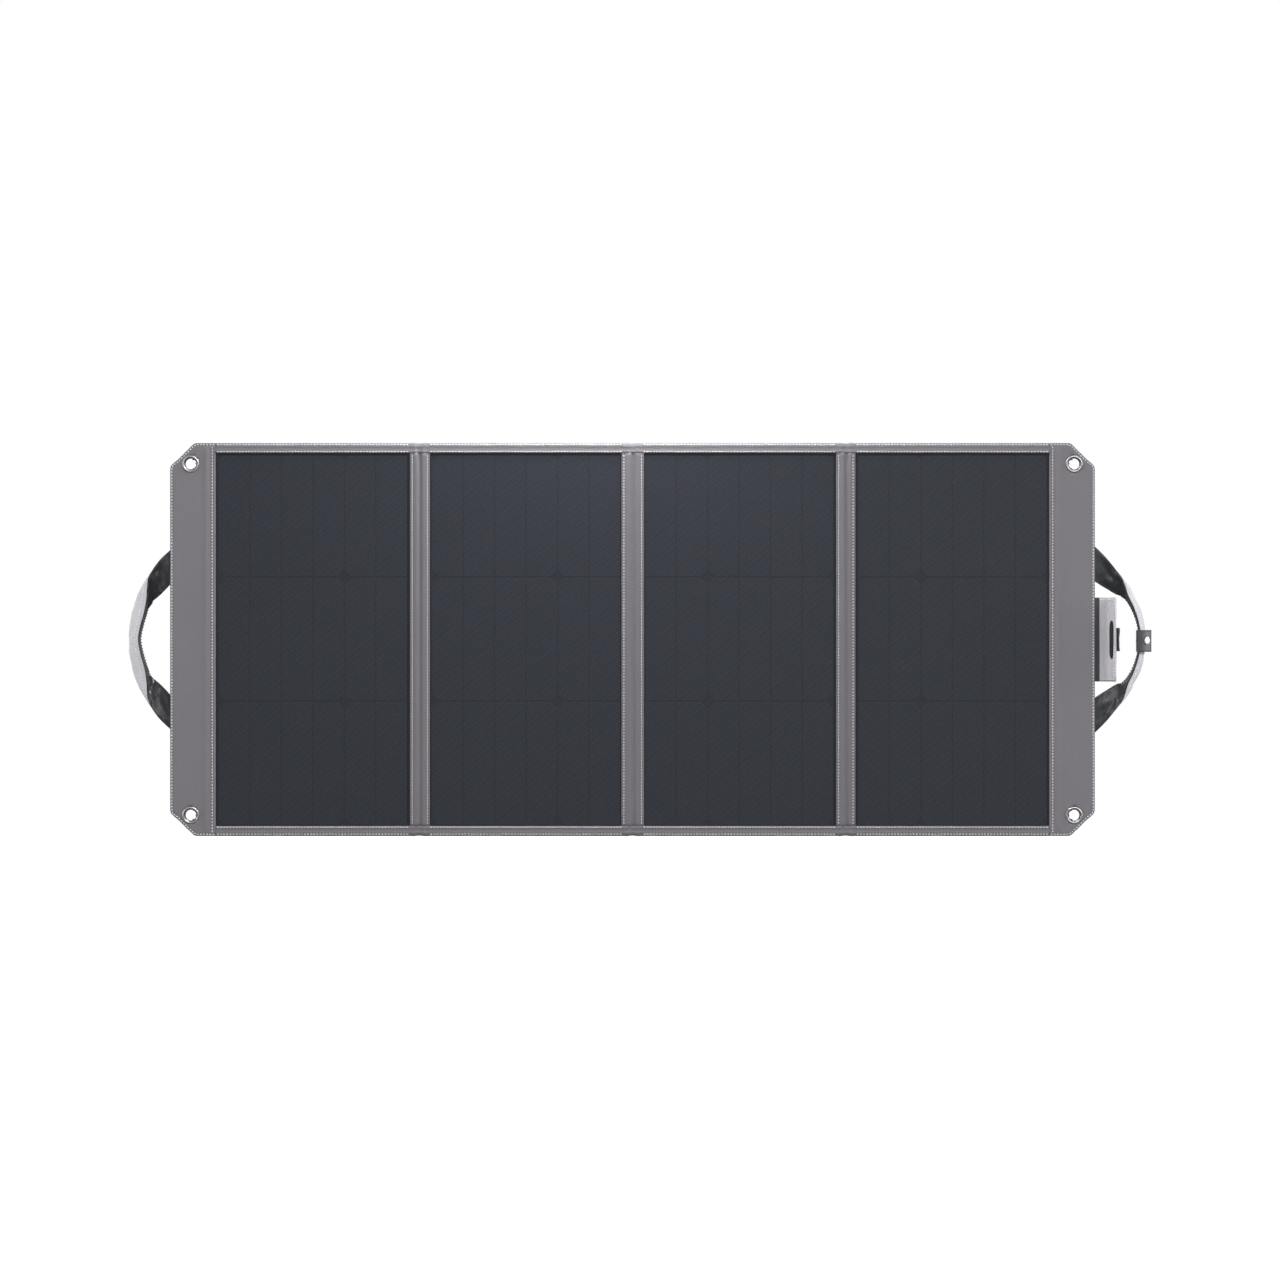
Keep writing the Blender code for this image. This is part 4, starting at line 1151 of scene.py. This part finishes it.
def closure():
    """The light tongue with its bound edges, the hook patch, the pull tab, and at its root a dark tape that
    is painted shadow, standing in for the shade where the tongue comes out from behind the flap.
    """
    body = "closure_flap"
    path = [tongue_point(TONGUE_LENGTH * k / 34) for k in range(35)]
    # The tongue's light grey is part its cloth's tone and part painted sheen.
    mesh = upright(path, TONGUE_HALF, 0.0022, "tongue", columns=25, round_edge=0.0016, ripple=0.0007)
    tongue = piece("tongue", mesh, "light", body, ("closure_tongue",))
    line = [tongue_point(TONGUE_LENGTH * k / 30, 0.0012) for k in range(31)]
    for label, way in (("low", -1), ("high", 1)):
        points = [at_depth(HALF_WIDTH + u, d, MIDDLE + way * (TONGUE_HALF - 0.0028)) for u, d in line]
        sew(f"tongue_stitches_{label}", [(even(points), (-0.5, -0.85, 0))], "thread", body, "light_fabric")
    u, d = tongue_point(TONGUE_LENGTH - 0.0026, 0.0012)
    ends = [at_depth(HALF_WIDTH + u, d, MIDDLE + way * (TONGUE_HALF - 0.003)) for way in (-1, 1)]
    facing = (-math.sin(TONGUE_TURN), -math.cos(TONGUE_TURN), 0)
    sew("tongue_edge_stitches", [(row(*ends), facing)], "thread", body, "light_fabric")

    start, end = TONGUE_LENGTH - 0.0215, TONGUE_LENGTH - 0.0065
    patch = [tongue_point(start + (end - start) * k / 14, 0.0018) for k in range(15)]
    mesh = upright(patch, 0.0245, 0.0011, "hook_patch", columns=15, round_edge=0.0012, end_round=0.007)
    piece("hook_patch", mesh, "hook", body, ("closure_hook_patch",))

    tab_low, tab_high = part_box("closure_pull_tab")
    root = Vector((tab_low[0] - HALF_WIDTH, BACK_Y - tab_high[1]))
    tip = Vector((tab_high[0] - HALF_WIDTH, BACK_Y - tab_low[1]))
    root, tip = root - Vector((0.0040, 0)), tip - Vector((0.0052, 0))
    loop = smooth_path([root, root.lerp(tip, 0.5) + Vector((0.0008, -0.0003)), tip], 12)
    half = (tab_high[2] - tab_low[2]) / 2
    mesh = upright(loop, half, 0.0014, "pull_tab", columns=11, ripple=0.0006, flare=0.0016)
    piece("pull_tab", mesh, "tape", body, ("closure_pull_tab",))

    # A dark tape from behind the flap to the tongue's root: painted shadow, for the shade under the flap's
    # edge.
    tape = [(-0.010, -0.0006), (0.000, -0.0007), (0.0040, -0.0011), (0.0078, -0.0016)]
    mesh = upright(smooth_path(tape, 24), TONGUE_HALF, 0.0009, "closure_root_painted_shadow", columns=21, ripple=0.0003)
    root_shadow_piece = piece("closure_root_painted_shadow", mesh, "tape", None)
    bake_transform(root_shadow_piece)


# ---------------------------------------------------------------- stands and pouch

def round_corner(x, y, cx, cy):
    """Bring a point that lies beyond a rectangle's inner corner in to a quarter circle."""
    dx, dy = abs(x) - cx, abs(y) - cy
    if dx <= 0 or dy <= 0:
        return x, y
    scale = max(dx, dy) / math.hypot(dx, dy)
    return math.copysign(cx + dx * scale, x), math.copysign(cy + dy * scale, y)


def padded_board(name, node, look, body, slot_name, cells=(40, 70), corner=0.012, sewn=True):
    """A cloth-covered board that fills a flat node's box: rounded corners, soft edges."""
    (x0, y0, z0), (x1, y1, z1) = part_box(node)
    half_w, half_h, mid_x, mid_z = (x1 - x0) / 2, (z1 - z0) / 2, (x0 + x1) / 2, (z0 + z1) / 2
    seam = 0.0052

    def at(u, v, outer):
        x, z = round_corner(u * half_w, v * half_h, half_w - corner, half_h - corner)
        e = min((1 - abs(u)) * half_w, (1 - abs(v)) * half_h)
        rim = min(e / 0.0018, 1.0)
        shift = (y1 - y0) / 2 * (0.15 + 0.85 * math.sqrt(rim * (2 - rim))) - 0.0004 * hump(e, seam, 0.0018)
        if outer and e > 0:
            shift += 0.00015 * wobble(x, z, 24, 6)
        return Vector((mid_x + x, (y0 + y1) / 2 + (shift if outer else -shift), mid_z + z))

    def stations(count, half):
        inner = [-1 + 2 * i / count for i in range(count + 1)]
        extra = [1 - k / half for k in (0.0003, 0.0008, 0.0014, 0.0030, 0.0042, seam, 0.0062)]
        return sorted(set(round(v, 5) for v in inner + extra + [-e for e in extra]))

    mesh = shell_mesh(name, stations(cells[0], half_w), stations(cells[1], half_h), at)
    obj = piece(name, mesh, look, body, (node,))
    if sewn:
        y = y1 - 0.0003
        rim = [
            (x0 + seam, z0 + corner), (x0 + seam, z1 - corner), (x0 + corner, z1 - seam),
            (x1 - corner, z1 - seam), (x1 - seam, z1 - corner), (x1 - seam, z0 + corner),
            (x1 - corner, z0 + seam), (x0 + corner, z0 + seam), (x0 + seam, z0 + corner),
        ]
        runs = [(even([(x, y, z) for x, z in rim]), BACKWARDS)]
        sew(f"{name}_stitches", runs, "dark_thread", body, slot_name)
    return obj


def stand(side_name, panel_body):
    """The kickstand and the tape that hinges it."""
    node = f"kickstand_{side_name}"
    padded_board(f"stand_board_{side_name}", node, "back", f"stand_{side_name}", "back_fabric")
    (x0, _, _), (x1, _, z1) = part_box(node)
    low, high = z1 + 0.0006, z1 + 0.024

    def at(x, z, outer):
        e = min(x - x0, x1 - x, high - z)
        d = 0.0004 + 0.0004 * ramp(e, 0, 0.0015) + 0.0006 * (1 - ramp(z - low, 0, 0.005))
        return Vector((x, BACK_Y + (d if outer else 0.0003), z))

    name = f"stand_tape_{side_name}"
    mesh = shell_mesh(name, spread(x0, x1, 0.006), spread(low, high, 0.002), at)
    tape = piece(name, mesh, "tape", panel_body)
    y = BACK_Y + 0.0008
    runs = [(row((x0 + 0.003, y, z), (x1 - 0.003, y, z)), BACKWARDS) for z in (low + 0.007, high - 0.003)]
    sew(f"stand_tape_stitches_{side_name}", runs, "dark_thread", panel_body, "back_fabric")


def soft_pouch():
    """The pouch's gusset and front as one sagging shell, open at the top, and its lid as a soft panel."""
    (x0, y0, z0), (x1, y1, z1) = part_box("cable_pouch")
    wall = 0.0013
    half_w, mid_x = (x1 - x0) / 2, (x0 + x1) / 2

    def at(u, v, outer):
        """u runs round the outside from one side of the panel to the other, v from the bottom up."""
        inset = 0.0 if outer else wall
        depth = (y1 - y0) - inset
        w = half_w - inset
        path = depth * 2 + w * 2
        run = (u + 1) / 2 * path
        if run < depth:
            x, y = -w, run
        elif run < depth + 2 * w:
            x, y = -w + (run - depth), depth
        else:
            x, y = w, path - run
        soft = 0.006
        x, y = round_corner(x, y, w - soft, depth - soft)
        low = hump(v, 0.0, 0.10)
        y = min(y, depth - soft * 0.5 * low * low)
        belly = 0.0016 * math.sin(math.pi * min(v * 1.3, 1.0)) * hump(x, 0, w * 1.1)
        crease = 0.0007 * wobble(x, v * 0.09, 55, 3) + 0.0004 * wobble(x, v * 0.09, 140, 5)
        front = ramp(y, depth * 0.5, depth)
        y += front * (crease - belly * 0.6) - 0.0004
        return Vector((mid_x + x, y0 + max(y, 0.0), z0 + inset * (1 - v) + v * (z1 - z0)))

    us = [-1 + 2 * i / 84 for i in range(85)]
    vs = [0, 0.008, 0.02, 0.04, 0.07] + [0.1 + 0.9 * i / 22 for i in range(23)]
    shell = piece("pouch_shell", shell_mesh("pouch_shell", us, vs, at), "back", "panel_4",
                  ("cable_pouch",))

    def floor_at(x, y, outer):
        return Vector((x, y, z0 + (0.0001 + 0.0002 * wobble(x, y, 80, 2) if outer else wall)))

    floor_us, floor_vs = spread(x0 + 0.001, x1 - 0.001, 0.006), spread(y0 + 0.0005, y1 - 0.0022, 0.004)
    mesh = shell_mesh("pouch_floor", floor_us, floor_vs, floor_at)
    piece("pouch_floor", mesh, "back", "panel_4")
    lid = padded_board("lid_panel", "pouch_lid", "back", "pouch_lid", "back_fabric",
                       cells=(40, 30), corner=0.008, sewn=False)


def pouch():
    """The cable pouch: its soft shell and lid, the piping round its sides and the lid's stitches."""
    soft_pouch()
    (x0, y0, z0), (x1, y1, z1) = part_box("cable_pouch")
    radius, sides = 0.0016, 10
    path = [(y0 + 0.001, z1 - 0.001), (y1 - 0.002, z1 - 0.001), (y1, z1 - 0.004)]
    path = smooth_path(path + [(y1, z0 + 0.004), (y1 - 0.003, z0), (y0 + 0.001, z0)], 60)
    for x, way, label in ((x0, -1, "left"), (x1, 1, "right")):
        rings = []
        for i, p in enumerate(path):
            before, after = path[max(i - 1, 0)], path[min(i + 1, len(path) - 1)]
            along = (after - before).normalized()
            across_x, normal = Vector((way, 0, 0)), Vector((0, -along.y, along.x))
            turns = [math.tau * k / sides for k in range(sides)]
            spokes = [across_x * math.cos(t) + normal * math.sin(t) for t in turns]
            rings.append([Vector((x, *p)) + radius * spoke for spoke in spokes])
        name = f"pouch_piping_{label}"
        piece(name, tube_mesh(name, rings), "tape", "panel_4")
    (x0, y0, z0), (x1, y1, z1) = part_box("pouch_lid")
    y = y1 + 0.00005
    inset = 0.003
    runs = [(row((x0 + inset, y, z0 + inset), (x1 - inset, y, z0 + inset)), BACKWARDS)]
    for x in (x0 + inset, x1 - inset):
        runs.append((row((x, y, z0 + inset), (x, y, z1 - inset)), BACKWARDS))
    sew("lid_stitches", runs, "dark_thread", "pouch_lid", "back_fabric")


# ---------------------------------------------------------------- studio

SKY_STRENGTH = 0.55


def sky():
    """A white room: plain white where it is seen, and as a light brightest overhead and dim at eye level."""
    world = bpy.data.worlds.new("studio")
    bpy.context.scene.world = world
    world.use_nodes = True
    tree = world.node_tree
    seen = tree.nodes["Background"]
    seen.inputs["Strength"].default_value = 1.0
    seen.inputs["Color"].default_value = (1, 1, 1, 1)
    glow = tree.nodes.new("ShaderNodeBackground")
    glow.inputs["Strength"].default_value = SKY_STRENGTH
    place = tree.nodes.new("ShaderNodeTexCoord")
    split = tree.nodes.new("ShaderNodeSeparateXYZ")
    shade = tree.nodes.new("ShaderNodeValToRGB")
    height = tree.nodes.new("ShaderNodeMapRange")
    height.inputs["From Min"].default_value = -1.0
    tree.links.new(place.outputs["Generated"], split.inputs[0])
    tree.links.new(split.outputs["Z"], height.inputs["Value"])
    tree.links.new(height.outputs[0], shade.inputs[0])
    stops = shade.color_ramp.elements
    stops[0].position, stops[0].color = 0.0, (0.55, 0.55, 0.56, 1)
    stops[1].position, stops[1].color = 1.0, (1, 1, 1, 1)
    for position, value in ((0.46, 0.30), (0.56, 0.30), (0.75, 0.9)):
        stops.new(position).color = (value, value, value * 1.01, 1)
    tree.links.new(shade.outputs[0], glow.inputs["Color"])
    which = tree.nodes.new("ShaderNodeLightPath")
    mix = tree.nodes.new("ShaderNodeMixShader")
    tree.links.new(which.outputs["Is Camera Ray"], mix.inputs[0])
    tree.links.new(glow.outputs[0], mix.inputs[1])
    tree.links.new(seen.outputs[0], mix.inputs[2])
    tree.links.new(mix.outputs[0], tree.nodes["World Output"].inputs["Surface"])


LAMPS = (  # name, place, aim, size, power
    ("overhead", (-0.04, -0.10, 0.42), (-0.04, 0, 0.0), 0.25, 5.0),
    ("front", (1.2, -7.0, 2.6), (0, 0, MIDDLE), 2.2, 205),
    ("front_left", (-3.4, -3.0, 1.2), (0, 0, MIDDLE), 1.2, 26),
    ("front_right", (3.4, -3.0, 1.8), (0, 0, MIDDLE), 1.2, 62),
    ("left", (-3.0, 0.1, 0.1), (0, 0, MIDDLE), 1.4, 36),
    ("right", (3.0, 0.1, 0.1), (0, 0, MIDDLE), 1.4, 36),
    ("behind", (0.5, 2.6, 1.8), (0, 0, MIDDLE), 1.8, 60),
)


def studio():
    sky()
    bpy.context.scene.view_settings.view_transform = "Standard"

    floor = bpy.data.meshes.new("floor")
    shape = bmesh.new()
    bmesh.ops.create_circle(shape, cap_ends=True, segments=96, radius=14)
    shape.to_mesh(floor)
    shape.free()
    plane = bpy.data.objects.new("floor", floor)
    plane.location = (0, 0, BOTTOM - 0.42)
    bpy.context.scene.collection.objects.link(plane)
    pale = Nodes("pale_floor", (0.60, 0.60, 0.60), 0.95)
    pale.shader.inputs["Emission Color"].default_value = (1, 1, 1, 1)
    pale.shader.inputs["Emission Strength"].default_value = 0.9
    pale.tint((pale.noise(3.0), 0.01))
    floor.materials.append(pale.material)
    plane.visible_diffuse = plane.visible_glossy = plane.visible_shadow = False
    plane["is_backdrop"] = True

    for name, place, aim, size, power in LAMPS:
        light = bpy.data.lights.new(name, "AREA")
        light.size = size
        light.energy = power
        lamp = bpy.data.objects.new(name, light)
        lamp.location = place
        lamp.rotation_euler = (Vector(aim) - Vector(place)).to_track_quat("-Z", "Y").to_euler()
        bpy.context.scene.collection.objects.link(lamp)

    camera = bpy.data.cameras.new("camera")
    camera.lens = 175
    camera.sensor_width = 36
    view = bpy.data.objects.new("camera", camera)
    field = 1.651  # metres across the picture, at the panel
    view.location = (0.0097, -camera.lens / camera.sensor_width * field, MIDDLE - 0.0006)
    view.rotation_euler = (math.radians(90), 0, 0)
    bpy.context.scene.collection.objects.link(view)
    bpy.context.scene.camera = view


def dress_inner_nodes():
    """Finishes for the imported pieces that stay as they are."""
    looks = {
        "backing_board": "board", "cell_ribbons": "ribbon", "solar_cells": "gap", "eyelet_washer": "nickel",
        "closure_loop_patch": "hook", "regulator_case": "plastic", "regulator_lid": "plastic",
    }
    for node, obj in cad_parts.items():
        for start, look in looks.items():
            if node.startswith(start):
                obj.data.materials.clear()
                obj.data.materials.append(LOOKS[look])


def build():
    studio()
    dress_inner_nodes()
    for number in (1, 2, 3, 4):
        film(number)
        top_hem = hem(number, "top", 1)
        hem(number, "bottom", -1)
        if number in (2, 3):
            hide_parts(f"border_{number}")
        hem_stitches(number)
        back_sheet(number)
    for number in (1, 2, 3):
        hinge_sheet(number)
        rear_hinge(number)
        jumper(number)
    for side_name, side, body, number in SIDES:
        flap(side_name, side, body, number)
        for end_name, (x, z) in zip(("top", "bottom"), EYELETS[side_name]):
            eyelet(f"{side_name}_{end_name}", x, z, body)
        handle(side_name, side, body)
        stand(side_name, body)
    keeper()
    closure()
    pouch()


build()

boxes = [cad_bounds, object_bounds()]
